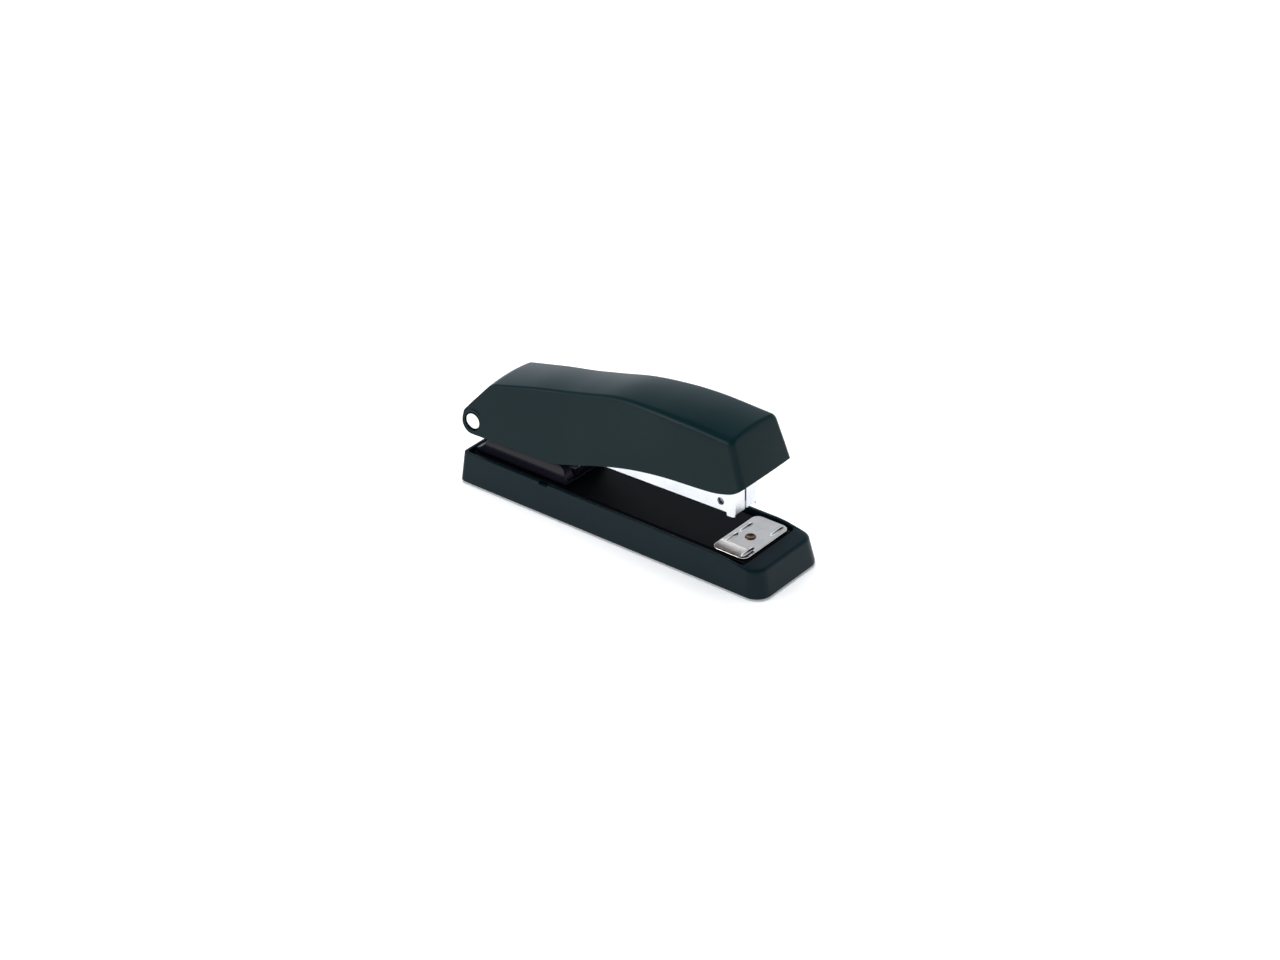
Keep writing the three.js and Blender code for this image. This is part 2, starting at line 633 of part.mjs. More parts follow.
function coverSide() {
  const { bossRadius } = COVER;
  const rearTop = topLine[topLine.length - 1];
  const rise = Math.atan2(rearTop[1] - PIVOT.z, rearTop[0] - PIVOT.x);
  const reach = Math.hypot(rearTop[1] - PIVOT.z, rearTop[0] - PIVOT.x);
  const touch = rise + Math.acos(bossRadius / reach);
  const boss = [];
  for (let k = 0; k <= 10; k += 1) {
    const angle = touch + ((1.5 * Math.PI - touch) * k) / 10;
    boss.push([PIVOT.x + bossRadius * Math.cos(angle), PIVOT.z + bossRadius * Math.sin(angle)]);
  }
  return outline([...lowerSmooth.slice(1), FRONT_LOW, ...topSmooth, ...boss]);
}

// Cross-sections from rear to front: drafted sides, steeper towards the front, and a gently crowned top.
function coverSections(inset) {
  const rings = [];
  for (let x = -92; x <= 80; x += 8) {
    const low = heightAt(lowerSmooth, x);
    const crease = heightAt(topSmooth, x) - inset;
    const share = THREE.MathUtils.smoothstep(x, ...COVER.draftChanges);
    const draft = THREE.MathUtils.lerp(COVER.draft, COVER.frontDraft, share);
    const halfAt = (z) => COVER.halfLow - (z - low) * draft - inset;
    const top = halfAt(crease);
    rings.push([
      [x, -halfAt(low - 6), low - 6], [x, halfAt(low - 6), low - 6], [x, top, crease],
      [x, top * 0.5, crease + COVER.crown * 0.75], [x, 0, crease + COVER.crown],
      [x, -top * 0.5, crease + COVER.crown * 0.75], [x, -top, crease],
    ]);
  }
  return skin(rings);
}

function handleCover() {
  const { wall, backOpening } = COVER;
  const [topX, topZ] = topLine[0];
  const slope = (FRONT_LOW[0] - topX) / (topZ - FRONT_LOW[1]);
  const tall = 90;
  // The prism of the side view stands clear of the crowned top, which the cross-sections give.
  const lifted = outline([
    ...lowerSmooth.slice(1), FRONT_LOW, [topX, topZ], [topX - slope * COVER.crown, topZ + COVER.crown],
    [30, tall], [-68, tall], ...coverSide().getPoints().slice(-12),
  ]);
  const outer = acrossY(lifted, ACROSS).intersect(coverSections(0));
  const frontX = (z) => topX - wall * 1.08 + slope * (topZ - z);
  const rearX = (z) => topLine[topLine.length - 1][0] + 2.2 + (z - 50) * 0.78;
  const room = acrossY(outline([
    [-100, 5], [frontX(5), 5], [frontX(tall), tall], [rearX(tall), tall], [rearX(backOpening), backOpening],
    [-100, backOpening],
  ]), ACROSS).intersect(coverSections(wall));
  let cover = outer.subtract(room);
  for (const side of [-1, 1]) {
    const inner = FRAME.outer + GAP;
    const boss = barY(COVER.bossRadius - 0.4, inner, COVER.halfLow - COVER.wall, PIVOT.x, PIVOT.z);
    const sink = barY(PIVOT.head + 0.9, PIVOT.end - PIVOT.headThick - GAP, PIVOT.end + 5, PIVOT.x, PIVOT.z);
    cover = cover.add(side > 0 ? boss : boss.mirror([0, 1, 0]));
    cover = cover.subtract(side > 0 ? sink : sink.mirror([0, 1, 0]));
  }
  for (const x of [-34, 2, 38]) {
    const low = heightAt(topSmooth, x) - 9;
    const rib = box(x - 0.6, x + 0.6, -20, 20, low, 80).intersect(coverSections(wall / 2));
    cover = cover.add(rib);
  }
  return cover.subtract(barY(PIVOT.shaft + RUNNING, -ACROSS, ACROSS, PIVOT.x, PIVOT.z));
}

add('handle_cover', handleCover(), handlePlastic);
add('handle_frame', handleFrame(), springSteel, head);
add('driver_blade', driverBlade(), platedSteel, head);
driverRivetSpots().forEach(([x, y]) => {
  const name = `driver_rivet_${y > 0 ? 'left' : 'right'}`;
  const under = webTop(x) - FRAME.sheet - 2 * GAP - 1;
  add(name, rivet(x, y, RIVET_SHANK, 2.3, under, webTop(x) + GAP), springSteel, head);
});
add('handle_spring', handleSpring(), springSteel, head);
add('handle_spring_rivet', rivet(SPRING_RIVET_X, 0, RIVET_SHANK, 2.6,
  webTop(SPRING_RIVET_X) - FRAME.sheet - 2 * GAP - 1, webTop(SPRING_RIVET_X) + GAP), springSteel, head);

export default stapler;
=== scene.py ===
# %% [markdown]
# # A desk stapler
# The frame holds the working model: shoe, deck, anvil, magazine, pusher and handle, with their hinges.
# This script builds the shapes and finishes that are seen, piece by piece, and hangs each one on the
# body it belongs to. Lengths below are in millimetres and become metres when a mesh is made.

# %% Load the working model
import json
import math

import bmesh
import bpy
from mathutils import Matrix, Vector


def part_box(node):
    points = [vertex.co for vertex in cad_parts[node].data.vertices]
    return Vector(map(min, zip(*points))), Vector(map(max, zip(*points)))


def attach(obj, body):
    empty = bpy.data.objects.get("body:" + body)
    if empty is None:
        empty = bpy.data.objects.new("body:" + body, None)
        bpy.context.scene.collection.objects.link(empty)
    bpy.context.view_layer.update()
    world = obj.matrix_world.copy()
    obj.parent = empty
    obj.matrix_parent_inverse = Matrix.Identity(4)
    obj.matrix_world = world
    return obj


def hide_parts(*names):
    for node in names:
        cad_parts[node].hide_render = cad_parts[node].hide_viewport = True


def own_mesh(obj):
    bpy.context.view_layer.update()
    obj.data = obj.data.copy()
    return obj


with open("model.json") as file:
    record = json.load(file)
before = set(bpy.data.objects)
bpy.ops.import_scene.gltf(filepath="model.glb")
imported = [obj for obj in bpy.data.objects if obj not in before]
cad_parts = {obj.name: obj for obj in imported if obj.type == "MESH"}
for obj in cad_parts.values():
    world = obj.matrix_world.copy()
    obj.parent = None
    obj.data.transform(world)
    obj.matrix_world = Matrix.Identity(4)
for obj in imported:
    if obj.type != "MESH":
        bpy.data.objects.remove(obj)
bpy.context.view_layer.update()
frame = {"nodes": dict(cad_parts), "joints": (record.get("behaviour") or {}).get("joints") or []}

MM = 0.001

# %% [markdown]
# ## Sizes
# The working model fixes every size, so the driving ones are read from its boxes. Where a size is a
# detail inside a piece, such as a rounding, it is named next to that piece.


# %% Read the sizes of the pieces that others are set out from
def extent(name):
    low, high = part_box(name)
    return low / MM, high / MM


shoe_low, shoe_high = extent("base_shoe")
deck_low, deck_high = extent("deck_plate")
anvil_low, anvil_high = extent("anvil_plate")
pin_low, pin_high = extent("pivot_pin")
cover_low, cover_high = extent("handle_cover")
pivot = (pin_low + pin_high) / 2
anvil_middle = (anvil_low + anvil_high) / 2
print("shoe", tuple(round(v, 1) for v in shoe_high - shoe_low))
print("pivot", tuple(round(v, 1) for v in pivot))

# %% [markdown]
# ## Camera
# A product shot like this is taken with a long lens from about a metre and a half away, so the shoe's
# edges stay almost parallel. The camera looks down by about thirty degrees at the right front.

# %% Place the camera
CAMERA_AT = Vector((0.7732, -0.9882, 0.7674))
CAMERA_AIM = Vector((-0.0193, 0.0282, 0.0))
camera_data = bpy.data.cameras.new("studio_camera")
camera_data.lens = 93.8
camera_data.sensor_width = 36
camera = bpy.data.objects.new("studio_camera", camera_data)
camera.location = CAMERA_AT
camera.rotation_euler = (CAMERA_AIM - CAMERA_AT).to_track_quat("-Z", "Y").to_euler()
bpy.context.scene.collection.objects.link(camera)
bpy.context.scene.camera = camera
print("camera distance", round((CAMERA_AIM - CAMERA_AT).length, 3), "m")

# %% [markdown]
# ## Making materials
# Every finish is a small network of nodes. One helper adds a node, sets it up and links it, and one
# turns a colour as a designer writes it into the linear numbers that the renderer adds up.


# %% Helpers for colours and nodes
def linear(code):
    channels = [int(code[i:i + 2], 16) / 255 for i in (1, 3, 5)]
    return [c / 12.92 if c <= 0.04045 else ((c + 0.055) / 1.055) ** 2.4 for c in channels] + [1.0]


def node(tree, kind, inputs=None, **settings):
    made = tree.nodes.new(kind)
    for key, value in settings.items():
        setattr(made, key, value)
    for socket, value in (inputs or {}).items():
        if isinstance(value, bpy.types.NodeSocket):
            tree.links.new(value, made.inputs[socket])
        else:
            made.inputs[socket].default_value = value
    return made


def new_finish(name, **surface):
    finish = bpy.data.materials.new(name)
    finish.use_nodes = True
    shader = finish.node_tree.nodes["Principled BSDF"]
    for socket, value in surface.items():
        shader.inputs[socket.replace("_", " ")].default_value = value
    return finish, finish.node_tree, shader


def per_mm(size):
    """The texture scale that makes one feature `size` millimetres long in object space."""
    return 1 / (size * MM)


print("middle grey in linear light:", round(linear("#808080")[0], 3))

# %% [markdown]
# ### Moulded ABS
# The handle, the shoe and the bracket are injection-moulded ABS. The mould is spark-eroded, which
# leaves a grain of about a tenth of a millimetre. It is too fine to see one by one from here, so it is
# drawn at a third of a millimetre: it breaks up the gloss into the soft satin of office plastic. Such a
# skin mirrors far less than polished plastic, so the specular level is set well under its usual half.
# Handling polishes the raised edges first, so the sharper the corner, the lower the roughness there.


# %% Moulded ABS in its three shades
FLOW_MM = 24


def moulded_abs(name, shade, deep_shade, roughness, grain_mm, grain_height_mm):
    finish, tree, shader = new_finish(name, IOR=1.53, Specular_IOR_Level=0.115)
    place = node(tree, "ShaderNodeTexCoord").outputs["Object"]
    grain = node(tree, "ShaderNodeTexNoise", {"Vector": place, "Scale": per_mm(grain_mm), "Detail": 3.0})
    cloud = node(tree, "ShaderNodeTexNoise", {"Vector": place, "Scale": per_mm(FLOW_MM), "Detail": 2.0})
    shades = node(tree, "ShaderNodeMix",
                  {0: cloud.outputs["Fac"], 6: linear(deep_shade), 7: linear(shade)}, data_type="RGBA")
    edge = node(tree, "ShaderNodeNewGeometry").outputs["Pointiness"]
    polish = node(tree, "ShaderNodeMapRange", {"Value": edge, "From Min": 0.5, "From Max": 0.62,
                                               "To Min": roughness, "To Max": roughness - 0.1})
    wander = node(tree, "ShaderNodeMapRange", {"Value": grain.outputs["Fac"],
                                               "To Min": -0.05, "To Max": 0.05})
    rough = node(tree, "ShaderNodeMath", {0: polish.outputs["Result"], 1: wander.outputs["Result"]})
    bump = node(tree, "ShaderNodeBump", {"Height": grain.outputs["Fac"], "Strength": 0.35,
                                         "Distance": grain_height_mm * MM})
    tree.links.new(shades.outputs[2], shader.inputs["Base Color"])
    tree.links.new(rough.outputs[0], shader.inputs["Roughness"])
    tree.links.new(bump.outputs["Normal"], shader.inputs["Normal"])
    return finish


handle_abs = moulded_abs("satin_abs_handle", "#082023", "#061b1e", 0.32, 0.33, 0.03)
shoe_abs = moulded_abs("satin_abs_shoe", "#091d23", "#07191e", 0.4, 0.36, 0.035)
bracket_abs = moulded_abs("satin_abs_bracket", "#1b1922", "#17151e", 0.32, 0.33, 0.03)
print("plastics:", handle_abs.name, shoe_abs.name, bracket_abs.name)

# %% [markdown]
# ### Enamelled steel
# The deck is sheet steel dipped in black stoving enamel. Enamel flows before it sets and dries with a
# faint orange peel, here about two millimetres from crest to crest. It is blacker and smoother than the
# plastic.

# %% Black stoving enamel
enamel, tree, shader = new_finish("black_stoving_enamel", IOR=1.5, Specular_IOR_Level=0.05)
place = node(tree, "ShaderNodeTexCoord").outputs["Object"]
peel = node(tree, "ShaderNodeTexNoise", {"Vector": place, "Scale": per_mm(2.2), "Detail": 1.0})
dust = node(tree, "ShaderNodeTexNoise", {"Vector": place, "Scale": per_mm(0.5), "Detail": 4.0})
film = node(tree, "ShaderNodeMapRange", {"Value": dust.outputs["Fac"], "From Min": 0.35, "From Max": 0.75,
                                         "To Min": 0.3, "To Max": 0.42})
coat = node(tree, "ShaderNodeMix", {0: peel.outputs["Fac"], 6: linear("#05080c"), 7: linear("#080b10")},
            data_type="RGBA")
ripple = node(tree, "ShaderNodeBump", {"Height": peel.outputs["Fac"], "Strength": 0.25,
                                       "Distance": 0.02 * MM})
tree.links.new(coat.outputs[2], shader.inputs["Base Color"])
tree.links.new(film.outputs["Result"], shader.inputs["Roughness"])
tree.links.new(ripple.outputs["Normal"], shader.inputs["Normal"])
print("enamel roughness 0.30 to 0.42")

# %% [markdown]
# ### Bare and plated metals
# Rolling and grinding draw fine lines along a strip, so each metal gets a noise that is fifty times longer
# in the rolling direction than across it, where a line is an eighth to a fifth of a millimetre wide. The
# lines vary the roughness and tilt the surface a very little. Nickel and zinc plate hide most of it; bare
# spring steel shows it. Handling leaves patches, which are drawn as a second, slightly duller shade.


# %% Metals with a rolling direction
LINE_STRETCH = 0.02


def rolled_metal(name, shade, stained_shade, roughness, spread, line_mm, along, height_mm, stain_mm=9.0):
    finish, tree, shader = new_finish(name, Metallic=1.0)
    place = node(tree, "ShaderNodeTexCoord").outputs["Object"]
    stretch = [1.0, 1.0, 1.0]
    stretch["xyz".index(along)] = LINE_STRETCH
    drawn = node(tree, "ShaderNodeMapping", {"Vector": place, "Scale": stretch})
    lines = node(tree, "ShaderNodeTexNoise", {"Vector": drawn.outputs["Vector"], "Scale": per_mm(line_mm),
                                              "Detail": 3.0})
    stain = node(tree, "ShaderNodeTexNoise", {"Vector": place, "Scale": per_mm(stain_mm), "Detail": 3.0})
    patches = node(tree, "ShaderNodeMapRange", {"Value": stain.outputs["Fac"],
                                                "From Min": 0.4, "From Max": 0.7})
    shades = node(tree, "ShaderNodeMix", {0: patches.outputs["Result"], 6: linear(shade),
                                          7: linear(stained_shade)}, data_type="RGBA")
    rough = node(tree, "ShaderNodeMapRange", {"Value": lines.outputs["Fac"], "From Min": 0.3, "From Max": 0.7,
                                              "To Min": roughness, "To Max": roughness + spread})
    scratch = node(tree, "ShaderNodeBump", {"Height": lines.outputs["Fac"], "Strength": 0.3,
                                            "Distance": height_mm * MM})
    tree.links.new(shades.outputs[2], shader.inputs["Base Color"])
    tree.links.new(rough.outputs["Result"], shader.inputs["Roughness"])
    tree.links.new(scratch.outputs["Normal"], shader.inputs["Normal"])
    return finish


zinc_plate = rolled_metal("bright_zinc_plate", "#e9ebee", "#dcdfe3", 0.16, 0.12, 0.12, "x", 0.003)
anvil_steel = rolled_metal("polished_anvil_steel", "#fff8f2", "#f6ebe4", 0.03, 0.03, 0.2, "y", 0.00005, 7.0)
spring_steel = rolled_metal("blued_spring_steel", "#a4a8ad", "#8b9096", 0.26, 0.16, 0.14, "x", 0.004)
nickel_plate = rolled_metal("turned_nickel_plate", "#f6f4f0", "#ebe8e2", 0.14, 0.1, 0.2, "z", 0.002)
copper_plate = rolled_metal("aged_copper_plate", "#9c7a62", "#5f4a3d", 0.2, 0.14, 0.2, "y", 0.001, 1.5)
print("metals:", [m.name for m in (zinc_plate, anvil_steel, spring_steel, nickel_plate, copper_plate)])

# %% [markdown]
# ### Rubber and nylon
# The feet are pressed rubber, matt and slightly dusty. The pivot washers are natural nylon, waxy and
# off-white.


# %% Soft plastics
def matt_polymer(name, shade, other_shade, roughness, speck_mm, ior):
    finish, tree, shader = new_finish(name, IOR=ior)
    place = node(tree, "ShaderNodeTexCoord").outputs["Object"]
    specks = node(tree, "ShaderNodeTexNoise", {"Vector": place, "Scale": per_mm(speck_mm), "Detail": 4.0})
    shades = node(tree, "ShaderNodeMix",
                  {0: specks.outputs["Fac"], 6: linear(shade), 7: linear(other_shade)}, data_type="RGBA")
    rough = node(tree, "ShaderNodeMapRange", {"Value": specks.outputs["Fac"], "To Min": roughness - 0.08,
                                              "To Max": roughness + 0.08})
    bump = node(tree, "ShaderNodeBump", {"Height": specks.outputs["Fac"], "Strength": 0.4,
                                         "Distance": 0.03 * MM})
    tree.links.new(shades.outputs[2], shader.inputs["Base Color"])
    tree.links.new(rough.outputs["Result"], shader.inputs["Roughness"])
    tree.links.new(bump.outputs["Normal"], shader.inputs["Normal"])
    return finish


foot_rubber = matt_polymer("pressed_rubber", "#161617", "#202021", 0.82, 0.4, 1.52)
washer_nylon = matt_polymer("natural_nylon", "#e2dfd4", "#d8d4c6", 0.5, 0.8, 1.53)
print("soft plastics:", foot_rubber.name, washer_nylon.name)

# %% [markdown]
# ## Making meshes
# Most pieces start as an outline pushed out along one axis, are cut by others, and then have their
# edges eased, because no real edge is perfectly sharp and the small rounding is what catches the light.


# %% Helpers for meshes
def new_object(name, points, faces):
    mesh = bpy.data.meshes.new(name)
    mesh.from_pydata([tuple(c * MM for c in p) for p in points], [], faces)
    made = bpy.data.objects.new(name, mesh)
    bpy.context.scene.collection.objects.link(made)
    shell = bmesh.new()
    shell.from_mesh(mesh)
    bmesh.ops.recalc_face_normals(shell, faces=shell.faces)
    shell.to_mesh(mesh)
    shell.free()
    return made


def loft(name, rows, ring=False):
    """Rows of points, each closed on itself, joined each to the next. A ring also joins the last row to
    the first; any other loft is capped at both ends."""
    count, last = len(rows[0]), len(rows) - 1
    points = [p for row in rows for p in row]
    faces = []
    for row in range(len(rows) if ring else last):
        a, b = row * count, (row + 1) % len(rows) * count
        faces += [(a + i, a + (i + 1) % count, b + (i + 1) % count, b + i) for i in range(count)]
    if not ring:
        faces += [tuple(range(count))[::-1], tuple(range(last * count, (last + 1) * count))]
    return new_object(name, points, faces)


def prism(name, outline, axis, low, high):
    """A closed outline pushed out along an axis. The outline holds the other two coordinates in order."""
    def row(depth):
        made = [list(pair) for pair in outline]
        for values in made:
            values.insert("xyz".index(axis), depth)
        return made
    return loft(name, [row(low), row(high)])


def block(name, low, high):
    (x0, y0, z0), (x1, y1, z1) = low, high
    return prism(name, [(x0, y0), (x1, y0), (x1, y1), (x0, y1)], "z", z0, z1)


def circle(cx, cy, radius, count=48):
    turns = [2 * math.pi * i / count for i in range(count)]
    return [(cx + radius * math.cos(t), cy + radius * math.sin(t)) for t in turns]


def lathe(name, profile, centre, axis, count=64, ring=False):
    """A profile of (radius, height) points turned about an axis through `centre`.
    A ring's profile closes on itself; any other is capped at both ends."""
    rows = []
    for radius, height in profile:
        rows.append([])
        for a, b in circle(0, 0, radius, count):
            around = [a, b]
            around.insert("xyz".index(axis), height)
            rows[-1].append(tuple(p + c for p, c in zip(around, centre)))
    return loft(name, rows, ring)


def bake(piece):
    """Turns the piece's modifiers into its mesh."""
    graph = bpy.context.evaluated_depsgraph_get()
    made = bpy.data.meshes.new_from_object(piece.evaluated_get(graph))
    old = piece.data
    piece.modifiers.clear()
    piece.data = made
    bpy.data.meshes.remove(old)
    return piece


def combine(piece, other, operation):
    step = piece.modifiers.new("combine", "BOOLEAN")
    step.operation = operation
    step.solver = "EXACT"
    step.object = other
    bake(piece)
    bpy.data.objects.remove(other)
    return piece


def drill(piece, a, b, radius, axis, low, high, count=48):
    """Cuts a round hole along an axis, at (a, b) in the other two coordinates."""
    return combine(piece, prism("drill", circle(a, b, radius, count), axis, low, high), "DIFFERENCE")


def ease(piece, width_mm, angle_deg=32, flats=True):
    """Rounds the sharp edges with a small bevel. With `flats`, flat areas are first made one face each."""
    shell = bmesh.new()
    shell.from_mesh(piece.data)
    bmesh.ops.remove_doubles(shell, verts=shell.verts, dist=0.002 * MM)
    if flats:
        bmesh.ops.dissolve_limit(shell, angle_limit=math.radians(1), verts=shell.verts, edges=shell.edges)
    shell.to_mesh(piece.data)
    shell.free()
    step = piece.modifiers.new("ease", "BEVEL")
    step.width = width_mm * MM
    step.segments = 3
    step.limit_method = "ANGLE"
    step.angle_limit = math.radians(angle_deg)
    step.use_clamp_overlap = False
    return bake(piece)


def place(piece, finish, body, replaced, slot):
    """Gives the finished piece its finish and hangs it on its body."""
    piece.data.materials.clear()
    piece.data.materials.append(finish)
    piece.data.shade_smooth()
    piece.data.set_sharp_from_angle(angle=math.radians(42))
    level = piece.modifiers.new("level", "WEIGHTED_NORMAL")
    level.keep_sharp = True
    bake(piece)
    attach(piece, body)
    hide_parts(*replaced)
    print(f"{piece.name}: {len(piece.data.polygons)} faces on {body}")
    return piece


def smoothstep(low, high, value):
    t = min(1.0, max(0.0, (value - low) / (high - low)))
    return t * t * (3 - 2 * t)


def spline(points, x):
    """Height of a smooth line through (x, z) points, by Catmull-Rom, held level past its ends."""
    if x <= points[0][0]:
        return points[0][1]
    for i in range(len(points) - 1):
        (x0, z0), (x1, z1) = points[i], points[i + 1]
        if x <= x1:
            before = points[i - 1] if i else (2 * x0 - x1, 2 * z0 - z1)
            after = points[i + 2] if i + 2 < len(points) else (2 * x1 - x0, 2 * z1 - z0)
            t = (x - x0) / (x1 - x0)
            slope0 = (z1 - before[1]) / (x1 - before[0]) * (x1 - x0)
            slope1 = (after[1] - z0) / (after[0] - x0) * (x1 - x0)
            return ((2 * t**3 - 3 * t**2 + 1) * z0 + (t**3 - 2 * t**2 + t) * slope0
                    + (-2 * t**3 + 3 * t**2) * z1 + (t**3 - t**2) * slope1)
    return points[-1][1]


print("mesh helpers ready")

# %% [markdown]
# ## The shoe
# The shoe is one moulding. Its wall leans in a little so that it leaves the mould, its bottom edge is
# soft, and its front slopes back to a nose with large corners. Inside a thin rim lies the well that holds
# the deck. It is made as a stack of closed rings that run once round the plan, from the underside up the
# outside, over the rim and down into the well. Each ring has the same number of points, so the
# rings join into clean four-sided faces.


# %% The plan outline
ARC_STEPS, LONG_STEPS, SHORT_STEPS = 10, 40, 10


def plan_ring(rear, front, half, rear_radius, front_radius):
    """A rectangle with round corners, always with the same number of points."""
    corners = [(front - front_radius, front_radius - half, front_radius),
               (front - front_radius, half - front_radius, front_radius),
               (rear + rear_radius, half - rear_radius, rear_radius),
               (rear + rear_radius, rear_radius - half, rear_radius)]
    arcs = []
    for (x, y, radius), start in zip(corners, (-90, 0, 90, 180)):
        turns = [math.radians(start + 90 * i / ARC_STEPS) for i in range(ARC_STEPS + 1)]
        arcs.append([(x + radius * math.cos(t), y + radius * math.sin(t)) for t in turns])
    ring = []
    for k, arc in enumerate(arcs):
        (x0, y0), (x1, y1) = arc[-1], arcs[(k + 1) % 4][0]
        parts = LONG_STEPS if k in (1, 3) else SHORT_STEPS
        ring += arc + [(x0 + (x1 - x0) * i / parts, y0 + (y1 - y0) * i / parts) for i in range(1, parts)]
    return ring


print(len(plan_ring(0, 10, 3, 1, 1)), "points in a ring")

# %% The shoe's outside
shoe_rear, shoe_front, shoe_half, rim_top = shoe_low.x, shoe_high.x, shoe_high.y, shoe_high.z
REAR_LEAN, NOSE_LEAN, SIDE_LEAN, CORNER_LEAN = 0.5, 3.4, 1.9, 1.0
REAR_CORNER, NOSE_CORNER = 2.3, 7.6
BOTTOM_EASE, RIM_EASE, NOSE_EASE = 1.0, 0.4, 1.7
NOSE_TOP = deck_high.z - 0.3
top_half = shoe_half - SIDE_LEAN
wall_foot = shoe_low.z + BOTTOM_EASE


def top_level(x):
    """The rim is level, then comes down to the nose in front of the anvil."""
    return rim_top + (NOSE_TOP - rim_top) * smoothstep(anvil_high.x - 9, anvil_high.x + 5, x)


def softness(x):
    """Radius of the edge on top: tight along the rim and wide on the nose."""
    return RIM_EASE + (NOSE_EASE - RIM_EASE) * smoothstep(anvil_middle.x + 4, anvil_high.x + 6, x)


def wall_ring(z, inset=0.0):
    """The outer wall at a height. It leans in, from nothing at the foot to its full lean at the rim."""
    t = (z - wall_foot) / (rim_top - wall_foot)
    return plan_ring(shoe_rear + REAR_LEAN * t + inset, shoe_front - NOSE_LEAN * t - inset,
                     shoe_half - SIDE_LEAN * t - inset, REAR_CORNER - 0.4 * inset,
                     NOSE_CORNER - CORNER_LEAN * t - 0.6 * inset)


def fitted_ring(height, inset=lambda x: 0.0):
    """A ring whose height and inset change along the shoe."""
    ring = []
    for i, (x, y) in enumerate(wall_ring(rim_top)):
        wx, wy = wall_ring(height(x)[0], inset(x))[i]
        ring.append((wx, wy, height(x)[1]))
    return ring


rings = []
for k in range(5):
    angle = math.radians(90 * k / 4)
    z = shoe_low.z + BOTTOM_EASE * (1 - math.cos(angle))
    rings.append([(x, y, z) for x, y in wall_ring(wall_foot, BOTTOM_EASE * (1 - math.sin(angle)))])
for share in (0.15, 0.35, 0.55, 0.75, 0.9, 1.0):
    rings.append(fitted_ring(lambda x: [wall_foot + (top_level(x) - softness(x) - wall_foot) * share] * 2))
for k in range(1, 6):
    angle = math.radians(90 * k / 5)
    rings.append(fitted_ring(lambda x: (top_level(x) - softness(x),
                                        top_level(x) - softness(x) * (1 - math.sin(angle))),
                             lambda x: softness(x) * (1 - math.cos(angle))))
print(len(rings), "rings outside")

# %% The rim and the well
RIM, WELL_EASE, WELL_DEPTH = 1.6, 0.2, 0.05
REAR_WALL, DECK_GAP, WELL_REAR_CORNER, WELL_FRONT_CORNER = 2.0, 0.3, 1.5, 2.0
NOSE_START, NOSE_END = 70, 78
WELL_FLOOR = shoe_low.z + 2.0
nose_level = deck_high.z - WELL_DEPTH


def well_plan(grow=0.0):
    return plan_ring(shoe_rear + REAR_WALL - grow, deck_high.x + DECK_GAP + grow, top_half - RIM + grow,
                     WELL_REAR_CORNER + grow, WELL_FRONT_CORNER + grow)


def well_top(x):
    """Top of the well's wall, which comes down to the deck's level at the front."""
    return rim_top + (nose_level - rim_top) * smoothstep(anvil_high.x - 9, deck_high.x, x)


outer_top = rings[-1]
for share in (0.34, 0.67):
    rings.append([(ax + (bx - ax) * share, ay + (by - ay) * share,
                   top_level(ax) + (nose_level - NOSE_TOP) * share * smoothstep(NOSE_START, NOSE_END, ax))
                  for (ax, ay, _), (bx, by) in zip(outer_top, well_plan())])
rings.append([(x, y, well_top(x)) for x, y in well_plan(WELL_EASE)])
rings.append([(x, y, well_top(x) - WELL_EASE) for x, y in well_plan()])
rings += [[(x, y, z) for x, y in well_plan()] for z in (deck_low.z, WELL_FLOOR)]
print(len(rings), "rings of", len(rings[0]), "points")

# %% Skin the rings and cut the snap notches and foot recesses
shoe = loft("moulded_shoe", rings)
NOTCH_X, NOTCH_LONG, NOTCH_DEEP, NOTCH_HALF = -38.0, 5.0, 1.0, 1.4
for side in (-1, 1):
    y = side * (top_half - RIM / 2)
    cutter = block("notch_cutter", (NOTCH_X, y - NOTCH_HALF, rim_top - NOTCH_DEEP),
                   (NOTCH_X + NOTCH_LONG, y + NOTCH_HALF, rim_top + 2))
    combine(shoe, cutter, "DIFFERENCE")
foot_names = ["foot_front_left", "foot_front_right", "foot_rear_left", "foot_rear_right"]
for name in foot_names:
    low, high = extent(name)
    middle, radius = (low + high) / 2, (high.x - low.x) / 2
    drill(shoe, middle.x, middle.y, radius + 0.3, "z", -1, high.z + 0.3)
place(shoe, shoe_abs, "base", ["base_shoe"], "shoe_plastic")

# %% [markdown]
# ## The feet
# Four rubber discs are glued into the underside. Each is turned from a profile with a rounded lower
# edge and a shallow dish, which is how a pressed foot grips.

# %% Turn the feet
for name in foot_names:
    low, high = extent(name)
    middle, radius, tall = (low + high) / 2, (high.x - low.x) / 2, high.z - low.z
    profile = [(0.01, 0.12), (radius * 0.55, 0.1), (radius * 0.7, 0.0), (radius - 0.45, 0.0),
               (radius - 0.2, 0.06), (radius - 0.06, 0.2), (radius, 0.45), (radius, tall - 0.1),
               (radius - 0.1, tall), (0.01, tall)]
    foot = lathe("rubber_" + name, profile, (middle.x, middle.y, 0), "z")
    place(foot, foot_rubber, "base", [name], "rubber_feet")

# %% [markdown]
# ## The deck
# The deck is a steel strip with both long edges folded down. The outside of each fold is round, and
# that is the thin bright line that runs beside the dark gap inside the rim.


# %% Fold the deck
def folded_section(half, top, depth, sheet, bend):
    """The section of a strip folded down at both edges, with a round outside bend."""
    right = [(half, top - depth), (half, top - bend)]
    right += [(half - bend + bend * math.cos(a), top - bend + bend * math.sin(a))
              for a in (math.radians(15 * k) for k in range(1, 6))]
    right += [(half - bend, top)]
    under = [(half - bend, top - sheet), (half - sheet, top - bend - 0.1), (half - sheet, top - depth)]
    outer = [(-y, z) for y, z in reversed(right)]
    inner = [(-y, z) for y, z in reversed(under)]
    return right + outer + inner + under


